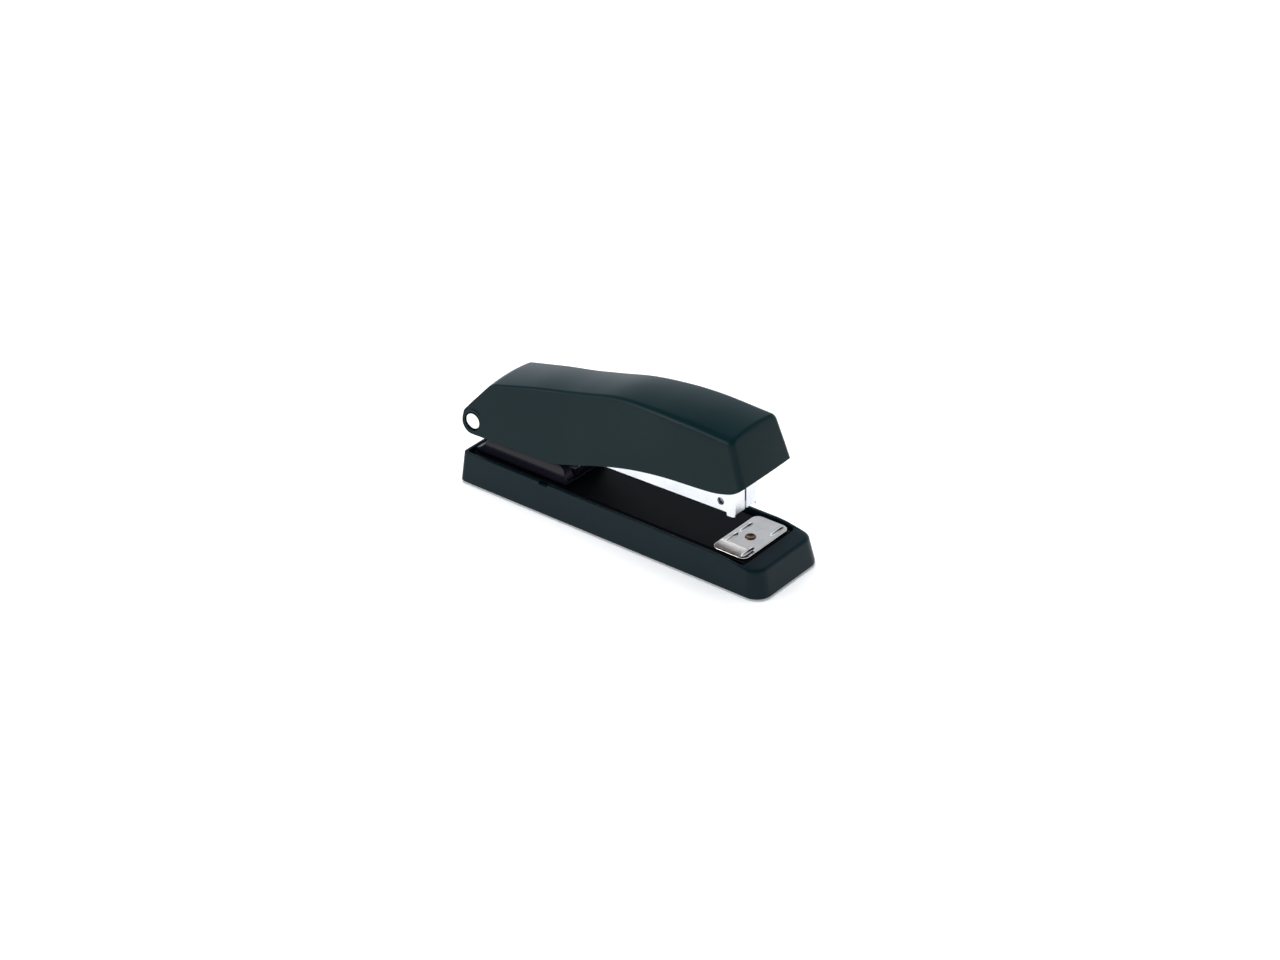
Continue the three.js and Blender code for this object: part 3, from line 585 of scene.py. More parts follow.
DECK_SHEET, DECK_BEND = 1.0, 1.3
RIVET_HOLE, ANVIL_HOLE = 1.7, 2.2
FLANGES_END = deck_high.x - 6
section = folded_section(deck_high.y, deck_high.z, deck_high.z - deck_low.z, DECK_SHEET, DECK_BEND)
deck = prism("enamelled_deck", section, "x", deck_low.x, deck_high.x)
combine(deck, block("flange_cutter", (FLANGES_END, -20, 0), (deck_high.x + 1, 20, deck_high.z - DECK_SHEET)),
        "DIFFERENCE")
bracket_rivets = ("bracket_rivet_front", "bracket_rivet_rear")
rivet_spots = [(extent(name)[0] + extent(name)[1]) / 2 for name in bracket_rivets]
for spot in rivet_spots:
    drill(deck, spot.x, spot.y, RIVET_HOLE, "z", 5, 20)
drill(deck, anvil_middle.x, 0, ANVIL_HOLE, "z", 5, 20)
ease(deck, 0.15)
place(deck, enamel, "base", ["deck_plate"], "black_steel")

# %% [markdown]
# ## The anvil
# The anvil is a steel blank with rounded corners and softened edges. Four pockets are coined into it: the
# pair nearer the hinge turns the staple's legs in, the outer pair turns them out. A coined pocket has no
# flat floor. It curves along its length, so that a leg slides round it, and it is round across. Each cutter
# is therefore lofted from half-round slices that get smaller towards its ends.


# %% Blank and pockets
def pocket(name, x, y0, y1, top, half, depth, slices=14):
    rows = []
    for k in range(slices + 1):
        t = -1 + 2 * k / slices
        size = math.sqrt(max(0.0, 1 - abs(t) ** 2.6)) + 0.02
        y = (y0 + y1) / 2 + t * (y1 - y0) / 2
        row = [(x + half * size, y, top + 0.6), (x - half * size, y, top + 0.6)]
        row += [(x - half * size * math.cos(a), y, top - depth * size * math.sin(a))
                for a in (math.pi * i / 10 for i in range(11))]
        rows.append(row)
    return loft(name, rows)


def round_corners(corners, steps=8):
    """A closed outline with each corner (a, b, radius) rounded off."""
    outline = []
    for i, (a, b, radius) in enumerate(corners):
        here = Vector((a, b))
        if not radius:
            outline.append((a, b))
            continue
        back = (Vector(corners[i - 1][:2]) - here).normalized()
        ahead = (Vector(corners[(i + 1) % len(corners)][:2]) - here).normalized()
        half = math.acos(max(-1, min(1, back.dot(ahead)))) / 2
        centre = here + (back + ahead).normalized() * radius / math.sin(half)
        start = here + back * radius / math.tan(half) - centre
        sweep = start.angle_signed(here + ahead * radius / math.tan(half) - centre)
        first = math.atan2(start.y, start.x)
        outline += [(centre.x + radius * math.cos(first - sweep * k / steps),
                     centre.y + radius * math.sin(first - sweep * k / steps)) for k in range(steps + 1)]
    return outline


anvil_x = anvil_middle.x
ANVIL_CORNER = 3.5
outline = round_corners([(x, y, ANVIL_CORNER) for x, y in (
    (anvil_low.x, anvil_low.y), (anvil_high.x, anvil_low.y), (anvil_high.x, anvil_high.y),
    (anvil_low.x, anvil_high.y))])
blank = prism("coined_anvil", outline, "z", anvil_low.z, anvil_high.z)
ease(blank, 0.3)
POCKET_LONG, POCKET_APART, POCKET_HALF, POCKET_DEPTH = 9.4, 6.2, 1.25, 0.78
for x, inner in ((anvil_x - POCKET_APART, 0.5), (anvil_x + POCKET_APART, 5.9)):
    for side in (-1, 1):
        y0, y1 = sorted((side * inner, side * (inner + POCKET_LONG)))
        cutter = pocket("pocket_cutter", x, y0, y1, anvil_high.z, POCKET_HALF, POCKET_DEPTH)
        combine(blank, cutter, "DIFFERENCE")
drill(blank, anvil_x, 0, ANVIL_HOLE, "z", 5, 20)
place(blank, anvil_steel, "anvil", ["anvil_plate"], "polished_steel")

# %% [markdown]
# The anvil turns on a copper-plated rivet. Its head is spun over with a round punch, which leaves a dimple
# in the middle and a rolled edge. A dished spring washer under the deck keeps the anvil from rattling.

# %% Rivet and spring washer
rivet_low, rivet_high = extent("anvil_rivet")
tail, head_top = rivet_low.z, rivet_high.z
spun_rivet = lathe("spun_anvil_rivet", [
    (0.01, tail), (3.3, tail), (3.6, tail + 0.3), (3.6, tail + 0.9), (3.5, tail + 1.0), (1.9, tail + 1.0),
    (1.9, head_top - 0.45), (2.42, head_top - 0.43), (2.5, head_top - 0.3), (2.38, head_top - 0.12),
    (2.1, head_top - 0.02), (1.8, head_top), (1.5, head_top - 0.06), (1.2, head_top - 0.22),
    (0.8, head_top - 0.34), (0.01, head_top - 0.38)], (anvil_x, 0, 0), "z")
place(spun_rivet, copper_plate, "base", ["anvil_rivet"], "bronze")
washer_low, washer_high = extent("anvil_spring_washer")
dish = lathe("dished_washer", [(2.2, washer_low.z), (4.5, washer_low.z + 0.4), (4.6, washer_low.z + 0.5),
                               (4.6, washer_high.z - 0.1), (4.5, washer_high.z), (2.3, washer_high.z - 0.4),
                               (2.2, washer_high.z - 0.5)], (anvil_x, 0, 0), "z", ring=True)
place(dish, spring_steel, "base", ["anvil_spring_washer"], "spring_steel")

# %% [markdown]
# ## The hinge bracket
# Two cheeks on a floor, moulded in one. Each cheek rises to a sloping shoulder, and its front end is round.
# The cheeks go up at the rear into ears that hold the pin. The side view is pushed out across, the front
# view is pushed out along, and what the two have in common is the block. Its middle is then cut away.


# %% Mould the bracket
def bezier(p0, p1, p2, p3, steps=10):
    def mix(a, b, c, d, t):
        return (1 - t)**3 * a + 3 * (1 - t)**2 * t * b + 3 * (1 - t) * t**2 * c + t**3 * d
    return [tuple(mix(*axis, k / steps) for axis in zip(p0, p1, p2, p3)) for k in range(1, steps + 1)]


bracket_low, bracket_high = extent("hinge_bracket")
EAR_RADIUS, EAR, CHEEK_INNER, SHOULDER = 5.2, 11.8, 9.3, 18.6
SHOULDER_TOP, BRACKET_FLOOR, PIN_HOLE = 22.0, 15.6, 2.65
EAR_SWEEP = 2 * math.pi - 1.95
rear, front, foot_z, outer = pivot.x - 0.6, bracket_high.x, bracket_low.z, bracket_high.y
neck = pivot.x + 6
side_view = [(rear, foot_z), (front, foot_z)]
side_view += bezier((front, foot_z), (front - 0.4, SHOULDER + 1), (front - 2, SHOULDER_TOP - 0.5),
                    (front - 8, SHOULDER_TOP), 12)
side_view += [(pivot.x + 13, SHOULDER_TOP + 0.5)]
side_view += [(pivot.x + EAR_RADIUS, pivot.z - 2)]
side_view += [(pivot.x + EAR_RADIUS * math.cos(a), pivot.z + EAR_RADIUS * math.sin(a))
              for a in (EAR_SWEEP * k / 26 for k in range(27))]
side_view += [(neck, SHOULDER_TOP)]
side_view += bezier((neck, SHOULDER_TOP), (neck - 1.5, SHOULDER_TOP - 3.5), (neck - 3.7, SHOULDER_TOP - 6),
                    (rear, rim_top + 0.4), 10)
front_view = [(-outer, 10), (outer, 10), (outer, SHOULDER), (EAR, SHOULDER_TOP), (EAR, 40), (-EAR, 40),
              (-EAR, SHOULDER_TOP), (-outer, SHOULDER)]
bracket = prism("moulded_bracket", side_view, "y", -outer - 2, outer + 2)
combine(bracket, prism("bracket_section", front_view, "x", rear - 5, front + 1), "INTERSECT")
trough = block("trough", (rear - 5, -CHEEK_INNER, BRACKET_FLOOR), (front + 1, CHEEK_INNER, 40))
combine(bracket, trough, "DIFFERENCE")
for spot in rivet_spots:
    drill(bracket, spot.x, spot.y, RIVET_HOLE, "z", 5, 20)
drill(bracket, pivot.x, pivot.z, PIN_HOLE, "y", -30, 30)
ease(bracket, 0.35, 24)
place(bracket, bracket_abs, "base", ["hinge_bracket"], "bracket_plastic")

# %% [markdown]
# ## Rivets, pin and washers
# Turned and headed pieces all come off a lathe, so each one is a profile spun about its axis. A rivet has
# a low dome above and a closed head below.


# %% Turn the small round pieces
RIVET_SHANK, RIVET_HEAD, DOME, HEAD_SIDE = 1.4, 2.6, 0.7, 0.12


def rivet_profile(head, under, seat):
    """A shank between two heads, each a low dome on a short straight side."""
    dome = [(head * math.cos(a), HEAD_SIDE + (DOME - HEAD_SIDE) * math.sin(a))
            for a in (math.radians(15 * k) for k in range(6))]
    above = [(r, seat + h) for r, h in dome]
    below = [(r, under - h) for r, h in reversed(dome)]
    return ([(0.01, under - DOME)] + below + [(head, under), (RIVET_SHANK, under), (RIVET_SHANK, seat),
                                              (head, seat)] + above + [(0.01, seat + DOME)])


GAP = 0.3
under_deck = deck_high.z - DECK_SHEET - GAP
for name, spot, seat in zip(bracket_rivets, rivet_spots, (16.7, BRACKET_FLOOR + GAP)):
    made = lathe("headed_" + name, rivet_profile(RIVET_HEAD, under_deck, seat), (spot.x, 0, 0), "z", 40)
    place(made, spring_steel, "base", [name], "spring_steel")
PIN_END, PIN_HEAD, PIN_SHAFT, PIN_CHAMFER, HEAD_THICK = pin_high.y, 3.8, 2.5, 0.3, 1.1
half_pin = [(PIN_SHAFT, PIN_END - HEAD_THICK), (PIN_HEAD - 0.1, PIN_END - HEAD_THICK),
            (PIN_HEAD, PIN_END - HEAD_THICK + 0.1), (PIN_HEAD, PIN_END - PIN_CHAMFER),
            (PIN_HEAD - 0.09, PIN_END - 0.09), (PIN_HEAD - PIN_CHAMFER, PIN_END), (0.01, PIN_END)]
pin_profile = [(r, -h) for r, h in reversed(half_pin)] + half_pin
pin = lathe("turned_pivot_pin", pin_profile, (pivot.x, 0, pivot.z), "y", 72)
place(pin, nickel_plate, "base", ["pivot_pin"], "nickel_steel")
for name in ("pivot_washer_left", "pivot_washer_right"):
    low, high = extent(name)
    y0, y1, radius = low.y, high.y, (high.x - low.x) / 2
    profile = [(PIN_HOLE, y0), (radius - 0.12, y0), (radius, y0 + 0.12), (radius, y1 - 0.12),
               (radius - 0.12, y1), (PIN_HOLE, y1)]
    washer = lathe("turned_" + name, profile, (pivot.x, 0, pivot.z), "y", ring=True)
    place(washer, washer_nylon, "base", [name], "nylon")

# %% [markdown]
# ## Sheet-metal pieces inside
# The springs, the rail, the pusher, the frame and the driver are plain strips and channels, whose shape in
# the working model is already right. What the model lacks is the worn, slightly round edge of real sheet
# metal. So the mesh is copied into a new piece, its flat faces are joined up, and its edges are eased.


# %% Finish the pressed pieces
def pressed(name, source, body, finish, slot, width_mm):
    piece = bpy.data.objects.new(name, frame["nodes"][source].data.copy())
    bpy.context.scene.collection.objects.link(piece)
    ease(piece, width_mm, 35)
    return place(piece, finish, body, [source], slot)


pressed("bent_lift_spring", "lift_spring", "base", spring_steel, "spring_steel", 0.1)
pressed("folded_staple_rail", "staple_rail", "magazine", zinc_plate, "plated_steel", 0.15)
pressed("rod_plate_at_front", "rod_plate_front", "magazine", spring_steel, "spring_steel", 0.12)
pressed("rod_plate_at_rear", "rod_plate_rear", "magazine", spring_steel, "spring_steel", 0.12)
pressed("folded_pusher", "pusher", "pusher", spring_steel, "spring_steel", 0.12)
pressed("folded_handle_frame", "handle_frame", "handle", spring_steel, "spring_steel", 0.2)
pressed("stamped_driver_blade", "driver_blade", "handle", zinc_plate, "plated_steel", 0.1)
pressed("bent_handle_spring", "handle_spring", "handle", spring_steel, "spring_steel", 0.1)

# %% [markdown]
# ## The head's own frame
# Magazine and handle are drawn square to the magazine and measured from the hinge pin, then tilted
# together, because at rest the magazine climbs a little towards the anvil.

# %% The tilt of the head
slide = next(joint for joint in frame["joints"] if joint["name"] == "pusher_slide")
HEAD_TILT = math.atan2(slide["axis"][2], slide["axis"][0])
HEAD = Matrix.Translation(pivot * MM) @ Matrix.Rotation(-HEAD_TILT, 4, "Y")


def onto_head(piece):
    piece.data.transform(HEAD)
    return piece


print("head tilt", round(math.degrees(HEAD_TILT), 2), "degrees")

# %% [markdown]
# ## The magazine
# The magazine is one strip of steel folded into a channel, with its front closed by two flaps that
# meet in a seam. Every fold has a round outside. The side, front and plan views are each pushed out,
# and their common part is the folded blank; the inside, the seam, the staple's way out and the holes are
# cut away. The front flaps reach a little lower than the floor, down to the anvil.

# %% Fold the magazine channel
CHANNEL_FRONT, CHANNEL_HALF, CHANNEL_SHEET = 138.4, 8.4, 1.0
CHANNEL_FLOOR, CHANNEL_FOOT, CHANNEL_TOP, CHANNEL_EAR = -5.3, -5.92, 6.9, 5.2
FOLD, PAST = 1.3, 20
foot_start = CHANNEL_FRONT - 4
inner_half = CHANNEL_HALF - CHANNEL_SHEET
side_view = [(4, CHANNEL_FLOOR), (foot_start, CHANNEL_FLOOR), (foot_start + 0.4, CHANNEL_FOOT),
             (CHANNEL_FRONT, CHANNEL_FOOT), (CHANNEL_FRONT, CHANNEL_TOP), (14, CHANNEL_TOP)]
side_view += bezier((14, CHANNEL_TOP), (10, CHANNEL_TOP), (7.3, 6.3), (6, CHANNEL_EAR), 8)
side_view += [(CHANNEL_EAR * math.cos(a), CHANNEL_EAR * math.sin(a))
              for a in (math.pi / 2 + math.pi * k / 20 for k in range(21))]
floor_level = CHANNEL_FLOOR + CHANNEL_SHEET
section = round_corners([(-CHANNEL_HALF, CHANNEL_FLOOR, FOLD), (CHANNEL_HALF, CHANNEL_FLOOR, FOLD),
                         (CHANNEL_HALF, 10, 0), (-CHANNEL_HALF, 10, 0)])
foot_section = [(-CHANNEL_HALF, -10), (CHANNEL_HALF, -10), (CHANNEL_HALF, 10), (-CHANNEL_HALF, 10)]
plan = round_corners([(-PAST, -CHANNEL_HALF, 0), (CHANNEL_FRONT, -CHANNEL_HALF, FOLD),
                      (CHANNEL_FRONT, CHANNEL_HALF, FOLD), (-PAST, CHANNEL_HALF, 0)])
inside = round_corners([(-inner_half, floor_level, 0.3), (inner_half, floor_level, 0.3),
                        (inner_half, PAST, 0), (-inner_half, PAST, 0)], 3)
channel = prism("folded_magazine_channel", side_view, "y", -CHANNEL_HALF, CHANNEL_HALF)
blank_section = prism("section", section, "x", -PAST, foot_start + 0.1)
combine(blank_section, prism("foot_section", foot_section, "x", foot_start, CHANNEL_FRONT + 1), "UNION")
combine(channel, blank_section, "INTERSECT")
combine(channel, prism("plan", plan, "z", -PAST, PAST), "INTERSECT")
combine(channel, prism("inside", inside, "x", -PAST, CHANNEL_FRONT - CHANNEL_SHEET), "DIFFERENCE")
print("blank folded:", len(channel.data.polygons), "faces")

# %% Cut the magazine's openings
SLOT_REAR, SEAM_HALF = 135.2, 0.6
below_foot = CHANNEL_FOOT - 1
cuts = {
    "open_rear": ((-PAST, -inner_half, -PAST), (8, inner_half, PAST)),
    "staple_slot": ((SLOT_REAR, -inner_half, below_foot),
                    (CHANNEL_FRONT - CHANNEL_SHEET, inner_half, CHANNEL_FLOOR + 2)),
    "between_feet": ((foot_start - 1, -inner_half, below_foot), (SLOT_REAR + 0.8, inner_half, CHANNEL_FLOOR)),
    "between_flaps": ((CHANNEL_FRONT - 2, -inner_half, below_foot),
                      (CHANNEL_FRONT + 1, inner_half, CHANNEL_FLOOR + 0.3)),
    "seam": ((CHANNEL_FRONT - 2, -SEAM_HALF, below_foot), (CHANNEL_FRONT + 1, SEAM_HALF, CHANNEL_TOP + 1)),
}
for name, (low, high) in cuts.items():
    combine(channel, block(name, low, high), "DIFFERENCE")
drill(channel, CHANNEL_FRONT - 7.1, 0.1, 1.75, "y", -30, 30)
drill(channel, 12, 0, 1.4, "z", -9, 0, 32)
drill(channel, 0, 0, PIN_HOLE, "y", -30, 30)
ease(channel, 0.14, 30)
for vertex in channel.data.vertices:
    # The bevel overshoots where the round fold runs into the square foot, so it is held to the strip.
    vertex.co.y = max(-CHANNEL_HALF * MM, min(CHANNEL_HALF * MM, vertex.co.y))
    vertex.co.z = max(CHANNEL_FOOT * MM, vertex.co.z)
place(onto_head(channel), zinc_plate, "magazine", ["magazine_channel"], "plated_steel")

# %% [markdown]
# The pusher is driven by a long open coil on a guide rod. Its wire is half a millimetre thick and it has
# thirty turns, so that it closes up to about fifteen millimetres when the pusher is drawn back to load a
# strip. The coil is a circle of wire swept along a helix.

# %% Guide rod, coil and rail rivet
ROD_Z, ROD_RADIUS, ROD_START, ROD_END, ROD_CHAMFER = -1.7, 0.8, 11, 134.8, 0.2
half_rod = [(0.01, 0), (ROD_RADIUS - ROD_CHAMFER, 0), (ROD_RADIUS, ROD_CHAMFER)]
rod_profile = [(r, ROD_START + h) for r, h in half_rod] + [(r, ROD_END - h) for r, h in reversed(half_rod)]
rod = lathe("guide_rod_drawn", rod_profile, (0, 0, ROD_Z), "x", 24)
place(onto_head(rod), spring_steel, "magazine", ["guide_rod"], "spring_steel")
COIL_START, COIL_END, COIL_RADIUS, WIRE, TURNS, STEPS = 15.6, 131.1, 1.45, 0.25, 30, 20
rows = []
for k in range(TURNS * STEPS + 1):
    turn = 2 * math.pi * k / STEPS
    x = COIL_START + (COIL_END - COIL_START) * k / (TURNS * STEPS)
    rows.append([(x + along, radius * math.cos(turn), ROD_Z + radius * math.sin(turn))
                 for radius, along in circle(COIL_RADIUS, 0, WIRE, 8)])
coil = onto_head(loft("follower_coil", rows))
place(coil, spring_steel, "magazine", ["follower_spring"], "spring_steel")
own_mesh(coil)
rail_rivet = lathe("headed_rail_rivet", [
    (0.01, -6.3), (1.7, -6.3), (2.1, -6.05), (2.3, -5.7), (2.3, -5.6), (1.1, -5.6), (1.1, -3.3), (1.0, -3.2),
    (0.01, -3.2)], (12, 0, 0), "z", 32)
place(onto_head(rail_rivet), spring_steel, "magazine", ["rail_rivet"], "spring_steel")


# %% Rivets of the driver and the handle spring
def web_top(x):
    """The fold line on top of the steel frame in the handle."""
    return 9.8 + (x - 10) * 0.086


for name, x, y, head in (("driver_rivet_left", 129.7, 3.6, 2.3), ("driver_rivet_right", 129.7, -3.6, 2.3),
                         ("handle_spring_rivet", 24, 0, RIVET_HEAD)):
    profile = rivet_profile(head, web_top(x) - 2.6, web_top(x) + GAP)
    made = lathe("headed_" + name, profile, (x, y, 0), "z", 40)
    place(onto_head(made), spring_steel, "handle", [name], "spring_steel")

# %% [markdown]
# ## The handle
# The handle is one long moulded shell: drafted walls, a soft crease along each side of a slightly
# crowned back, and an almost flat front face, whose round edge is wider at the walls than at the back. At
# the rear the walls run on as two cheeks, each ending in a round boss for the pin.
#
# It is built as a row of slices. Each slice stands between a point of the lower edge and a point of the
# back, and crosses from one wall over the crease and the crown to the other wall. The slices lean so
# that the last one lies in the front face. The same slices a wall's thickness further in give the inside,
# and a narrow band of faces along the open edges joins the two skins.

# %% The handle's side view
EDGE = [(-78.5, 24), (-62.5, 24.5), (-45, 25.2), (-31, 25.8), (-19.5, 29.1), (-5.5, 33.6), (12, 38.1),
        (29.3, 40.7), (55, 42.7), (63.5, 44.7), (67.5, 46.6), (71, 49.4)]
BACK = [(-70.5, 50), (-58.5, 53.2), (-46.5, 56.3), (-29.5, 60.1), (-16.5, 63.4), (1.5, 67.9), (21.5, 70),
        (36.5, 70.5), (46.5, 70.4), (63.6, 69.6)]
HALF_LOW, DRAFT, FRONT_DRAFT, WALL = 18.2, 0.169, 0.075, 1.6
BOSS_RADIUS, BOSS_SHOULDER, OPENING_TOP = 6.0, 6.8, 41.0
REAR_CREASE, FRONT_CREASE, CROWN = 1.8, 4.0, 0.8
WALL_ROUND, BACK_ROUND, INSIDE_SHARE, LEAST_RADIUS = 2.6, 1.3, 0.3, 0.5
WALL_ROWS, CREASE_ROWS, CROWN_ROWS = 14, 7, 6


def half_width(x, z):
    """The wall leans in with height above the lower edge, and less so towards the front."""
    draft = DRAFT + (FRONT_DRAFT - DRAFT) * smoothstep(-10, 40, x)
    return HALF_LOW - (z - min(spline(EDGE, x), EDGE[-2][1])) * draft


def slice_points(low, top, radius, thin, inset=0.0):
    """One slice from wall to wall, over the crease and the crown, as 3-D points. `thin` moves the walls
    inwards for the inner skin, and `inset` shrinks the whole slice for the round of the front face."""
    low, top = Vector(low), Vector(top)
    tall = (top - low).length
    up = (top - low) / tall

    def wide(u):
        at = low + up * u
        return half_width(at.x, at.y) - thin
    slope = wide(tall - 1) - wide(tall)
    centre_y = wide(tall) + slope * radius - radius * math.sqrt(1 + slope * slope)
    fall = math.atan(2 * CROWN / centre_y)
    start, end = math.atan(slope), math.pi / 2 - fall
    first = tall - radius + radius * math.sin(start)
    flat = [(first * i / WALL_ROWS, wide(first * i / WALL_ROWS)) for i in range(WALL_ROWS)]
    flat += [(tall - radius + radius * math.sin(a), centre_y + radius * math.cos(a))
             for a in (start + (end - start) * k / CREASE_ROWS for k in range(CREASE_ROWS + 1))]
    edge_u, edge_y = flat[-1]
    flat += [(edge_u + CROWN * (1 - (1 - m / CROWN_ROWS) ** 2), edge_y * (1 - m / CROWN_ROWS))
             for m in range(1, CROWN_ROWS + 1)]
    if inset:
        drawn = []
        for i, (u, y) in enumerate(flat):
            before, after = flat[max(i - 1, 0)], flat[min(i + 1, len(flat) - 1)]
            along = Vector((after[0] - before[0], after[1] - before[1])).normalized()
            if i == 0:
                along = Vector((1, 0))
            if i == len(flat) - 1:
                along = Vector((0, -1))
            drawn.append((u + along.y * inset, y - along.x * inset))
        flat = drawn
    near = [((low + up * u).x, -y, (low + up * u).y) for u, y in flat]
    return near + [(x, -y, z) for x, y, z in reversed(near[:-1])]


print("half width at the lower edge", HALF_LOW, "and at the back", round(half_width(20, 69.5), 1))

# %% Set out the slices
back_rear, pivot_xz = Vector(BACK[0]), Vector((pivot.x, pivot.z))
reach = back_rear - pivot_xz
touch = math.atan2(reach.y, reach.x) + math.acos(BOSS_SHOULDER / reach.length)


def on_boss(angle):
    """The rear end is round, and grows a little squarer on its way up to the back."""
    share = smoothstep(0.25, 1, (math.pi - angle) / (math.pi - touch))
    radius = BOSS_RADIUS + (BOSS_SHOULDER - BOSS_RADIUS) * share
    return pivot_xz + radius * Vector((math.cos(angle), math.sin(angle)))


touch_point = on_boss(touch)


def edge_at(x):
    return Vector((x, spline(EDGE, x)))


def back_at(x):
    return Vector((x, spline(BACK, x)))


rear_slope = (back_rear - touch_point).normalized()
bend_out = (back_at(BACK[0][0] + 3) - back_rear).normalized()
BEND_REACH = 2.4
bend = [back_rear - rear_slope * BEND_REACH * (1 - t) ** 2 + bend_out * BEND_REACH * t ** 2
        for t in (k / 6 for k in range(7))]
pairs = []
for t in (0.06, 0.2, 0.35, 0.5, 0.65, 0.8, 0.92):
    pairs.append((on_boss(math.pi * (1 + t / 2)), on_boss(math.pi - (math.pi - touch) * t)))
CHEEK_RUN, SLOPE_RUN, BEND_STEP = 5, 7, 0.6
edge_rear = EDGE[0][0]
opening = touch_point + rear_slope * ((OPENING_TOP - touch_point.y) / rear_slope.y)
for t in (0.0, 0.35, 0.7):
    pairs.append((edge_at(edge_rear + CHEEK_RUN * t), touch_point.lerp(opening, t)))
open_slices = len(pairs)
for t in (0.0, 0.25, 0.5, 0.75):
    pairs.append((edge_at(edge_rear + CHEEK_RUN + SLOPE_RUN * t), opening.lerp(bend[0], t)))
for k, point in enumerate(bend):
    pairs.append((edge_at(edge_rear + CHEEK_RUN + SLOPE_RUN + BEND_STEP * k), point))
edge_start, back_start = pairs[-1][0].x, bend[-1].x


def front_pair(behind):
    """The slice that lies `behind` the front face and parallel to it. The lower edge rises towards the
    face and needs a little less than that, the back a little more."""
    return edge_at(EDGE[-1][0] - 0.82 * behind), back_at(BACK[-1][0] - 1.1 * behind)


def long_pairs(behind):
    """The slices along the back. The last stretch has them closer, because the edge turns up there."""
    edge_end, back_end = (point.x for point in front_pair(behind))
    shares = [k / 46 for k in range(1, 41)] + [40 / 46 + 6 / 46 * k / 10 for k in range(1, 11)]
    return [(edge_at(edge_start + (edge_end - edge_start) * s),
             back_at(back_start + (back_end - back_start) * s)) for s in shares]


print(open_slices, "open slices,", len(pairs) - open_slices, "at the rear,", len(long_pairs(0)), "along it")


# %% The front face's round and the two skins
FIRST_CREASE = 0.6
FACE_BULGE, FACE_COLUMNS = 0.35, 8


def crease_at(top, index):
    """Radius of the crease: none on the open cheeks, small at the rear and growing to the front."""
    if index < open_slices:
        return 0.0
    settled = REAR_CREASE + (FRONT_CREASE - REAR_CREASE) * smoothstep(-40, 55, top.x)
    return FIRST_CREASE + (settled - FIRST_CREASE) * smoothstep(OPENING_TOP, 54, top.y)


def face_ring(angle, thin):
    """One ring of the round between the shell and its front face, wider at the walls than at the back."""
    def ring(size):
        low, top = front_pair(thin + size * (1 - math.sin(angle)))
        return slice_points(low, top - Vector((0, thin)), max(FRONT_CREASE - thin, LEAST_RADIUS), thin,
                            inset=size * (1 - math.cos(angle)))
    tighter = INSIDE_SHARE if thin else 1.0
    walls, back = ring(WALL_ROUND * tighter), ring(BACK_ROUND * tighter)
    mixed = []
    for i, (at_wall, at_back) in enumerate(zip(walls, back)):
        from_edge = min(i, len(walls) - 1 - i)
        share = smoothstep(WALL_ROWS, WALL_ROWS + CREASE_ROWS + 1, from_edge)
        mixed.append(tuple(Vector(at_wall).lerp(Vector(at_back), share)))
    return mixed


def skin_points(thin):
    """The outer skin for a `thin` of nothing, the inner one for a wall's thickness."""
    rows = []
    every = pairs + long_pairs(WALL_ROUND + 0.4 + thin)
    for k, (low, top) in enumerate(every):
        radius = crease_at(top, k)
        if thin and k >= open_slices:
            before, after = every[k - 1][1], every[min(k + 1, len(every) - 1)][1]
            run = (after - before).normalized()
            top = top + Vector((run.y, -run.x)) * WALL
            radius = max(radius - WALL, LEAST_RADIUS)
        rows.append(slice_points(low, top, radius, thin))
    rows += [face_ring(math.radians(15 * k), thin) for k in range(7)]
    last = rows[-1]
    middle = len(last) // 2
    front_normal = Vector((BACK[-1][1] - EDGE[-1][1], 0, EDGE[-1][0] - BACK[-1][0])).normalized()
    face = []
    for i in range(middle + 1):
        near, far = Vector(last[i]), Vector(last[-1 - i])
        bulge = 0.0 if thin else FACE_BULGE * (1 - (i / middle) ** 2)
        face.append([near.lerp(far, t) + front_normal * bulge * 4 * t * (1 - t)
                     for t in (m / FACE_COLUMNS for m in range(FACE_COLUMNS + 1))])
    return rows, face


print("front face:", FACE_COLUMNS, "columns, bulging", FACE_BULGE, "mm")


# %% Skin the handle
def skin_faces(rows, face):
    """Four-sided faces between neighbouring slices, left out where the cheeks stand open, and over the
    front face."""
    wide = len(rows[0])
    wall_and_crease = WALL_ROWS + CREASE_ROWS
    quads = []
    for r in range(len(rows) - 1):
        for i in range(wide - 1):
            crosses_opening = wall_and_crease <= i < wide - 1 - wall_and_crease
            if r < open_slices and crosses_opening:
                continue
            quads.append((r * wide + i, r * wide + i + 1, (r + 1) * wide + i + 1, (r + 1) * wide + i))
    start = len(rows) * wide
    across = len(face[0])
    for i in range(len(face) - 1):
        quads += [(start + i * across + m, start + i * across + m + 1, start + (i + 1) * across + m + 1,
                   start + (i + 1) * across + m) for m in range(across - 1)]
    return quads


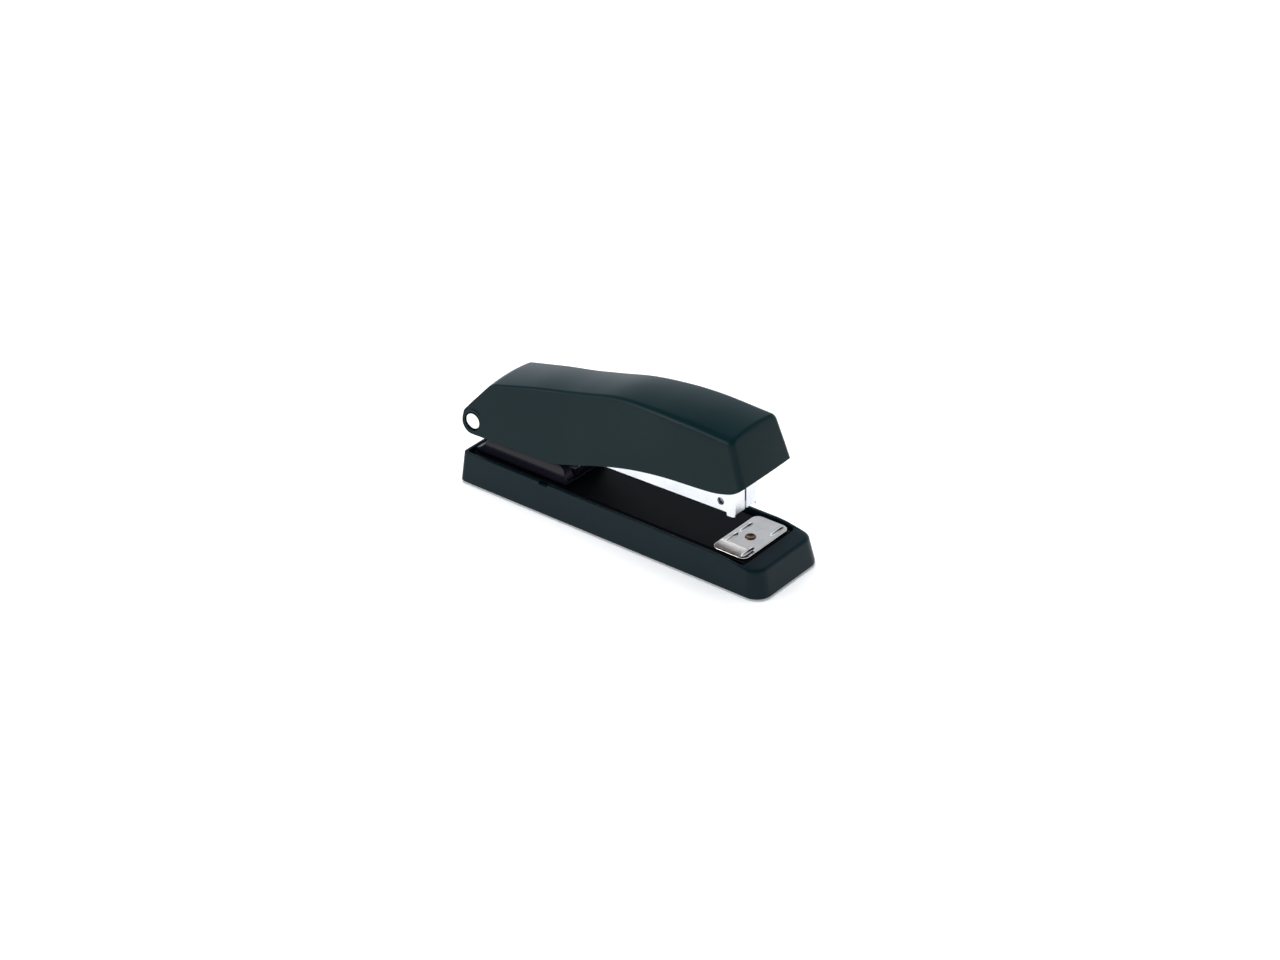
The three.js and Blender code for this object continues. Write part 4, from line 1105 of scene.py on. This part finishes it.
outer_rows, outer_face = skin_points(0.0)
inner_rows, inner_face = skin_points(WALL)
quads = skin_faces(outer_rows, outer_face)
outer_points = [tuple(p) for row in outer_rows + outer_face for p in row]
inner_points = [tuple(p) for row in inner_rows + inner_face for p in row]
first_of = {}
same = [first_of.setdefault(tuple(round(c, 3) for c in p), i) for i, p in enumerate(outer_points)]
skin = []
for quad in quads:
    corners = list(dict.fromkeys(same[i] for i in quad))
    if len(corners) > 2:
        skin.append(corners)
used = {}
for corners in skin:
    for a, b in zip(corners, corners[1:] + corners[:1]):
        used.setdefault(frozenset((a, b)), []).append((a, b))
rim = [edges[0] for edges in used.values() if len(edges) == 1]
shift = len(outer_points)
faces = skin + [[i + shift for i in reversed(corners)] for corners in skin]
faces += [(b, a, a + shift, b + shift) for a, b in rim]
kept = sorted({i for face in faces for i in face})
number = {old: new for new, old in enumerate(kept)}
all_points = outer_points + inner_points
handle = new_object("moulded_handle", [all_points[i] for i in kept],
                    [[number[i] for i in face] for face in faces])
print("handle skin", len(skin), "faces and", len(rim), "edges of rim")

# %% [markdown]
# The boss on each cheek is a short tube inside and a shallow sink outside, which leaves the pin's head
# flush in a dark ring.

# %% Bosses and the sinks for the pin
ease(handle, 0.3, 50, flats=False)
FRAME_OUTER, SINK_GAP = 13.1, 0.55
for side in (-1, 1):
    y0, y1 = sorted((side * (FRAME_OUTER + GAP), side * (HALF_LOW - WALL + 0.1)))
    combine(handle, prism("boss", circle(pivot.x, pivot.z, BOSS_RADIUS - 0.4), "y", y0, y1), "UNION")
    y0, y1 = sorted((side * (PIN_END - HEAD_THICK - GAP), side * 30))
    drill(handle, pivot.x, pivot.z, PIN_HEAD + SINK_GAP, "y", y0, y1, 64)
drill(handle, pivot.x, pivot.z, PIN_HOLE, "y", -30, 30)
place(handle, handle_abs, "handle", ["handle_cover"], "handle_plastic")

# %% [markdown]
# ## Floor and light
# The floor is a large sheet of white acrylic, lit a little from below, as on a product table. The light is
# a very slightly blue room that is brightest near the horizon, like a white backdrop. One large softbox
# hangs overhead. It lights the floor and is kept out of reflections, so that it draws no white streak along
# the handle's creases. A smaller one stands to the left of the camera. A dark object shows mainly what it
# reflects, so the bright horizon gives its sides their grey and the dark ceiling keeps its level tops black.

# %% Floor
FLOOR_HALF = 6000
floor_corners = [(x * FLOOR_HALF, y * FLOOR_HALF, 0) for x, y in ((-1, -1), (1, -1), (1, 1), (-1, 1))]
ground = new_object("studio_floor", floor_corners, [(0, 1, 2, 3)])
acrylic, tree, shader = new_finish("lit_white_acrylic", Base_Color=linear("#f4f4f4"), Roughness=0.9,
                                   Emission_Color=linear("#ffffff"), Emission_Strength=0.22)
ground.data.materials.append(acrylic)
print("floor", FLOOR_HALF * 2 * MM, "m wide")


# %% Light
def softbox(name, at, aim, size, power, mirrored=True):
    light = bpy.data.lights.new(name, "AREA")
    light.shape = "DISK"
    light.size = size
    light.energy = power
    lamp = bpy.data.objects.new(name, light)
    lamp.location = at
    lamp.rotation_euler = (Vector(aim) - Vector(at)).to_track_quat("-Z", "Y").to_euler()
    lamp.visible_glossy = mirrored
    bpy.context.scene.collection.objects.link(lamp)


softbox("overhead_softbox", (-0.3, 0.2, 1.5), (0, 0, 0), 1.2, 25, mirrored=False)
softbox("left_softbox", (-0.9, -1.1, 0.7), (0, 0, 0.03), 0.7, 5)
room = bpy.data.worlds.new("white_room")
bpy.context.scene.world = room
room.use_nodes = True
tree = room.node_tree
up = node(tree, "ShaderNodeSeparateXYZ", {"Vector": node(tree, "ShaderNodeTexCoord").outputs["Generated"]})
height = node(tree, "ShaderNodeMapRange", {"Value": up.outputs["Z"], "From Min": 0.1, "From Max": 0.8,
                                           "To Min": 1.45, "To Max": 0.02})
sky = tree.nodes["Background"]
sky.inputs["Color"].default_value = linear("#e6f0fb")
tree.links.new(height.outputs["Result"], sky.inputs["Strength"])
bpy.context.scene.view_settings.view_transform = "Standard"
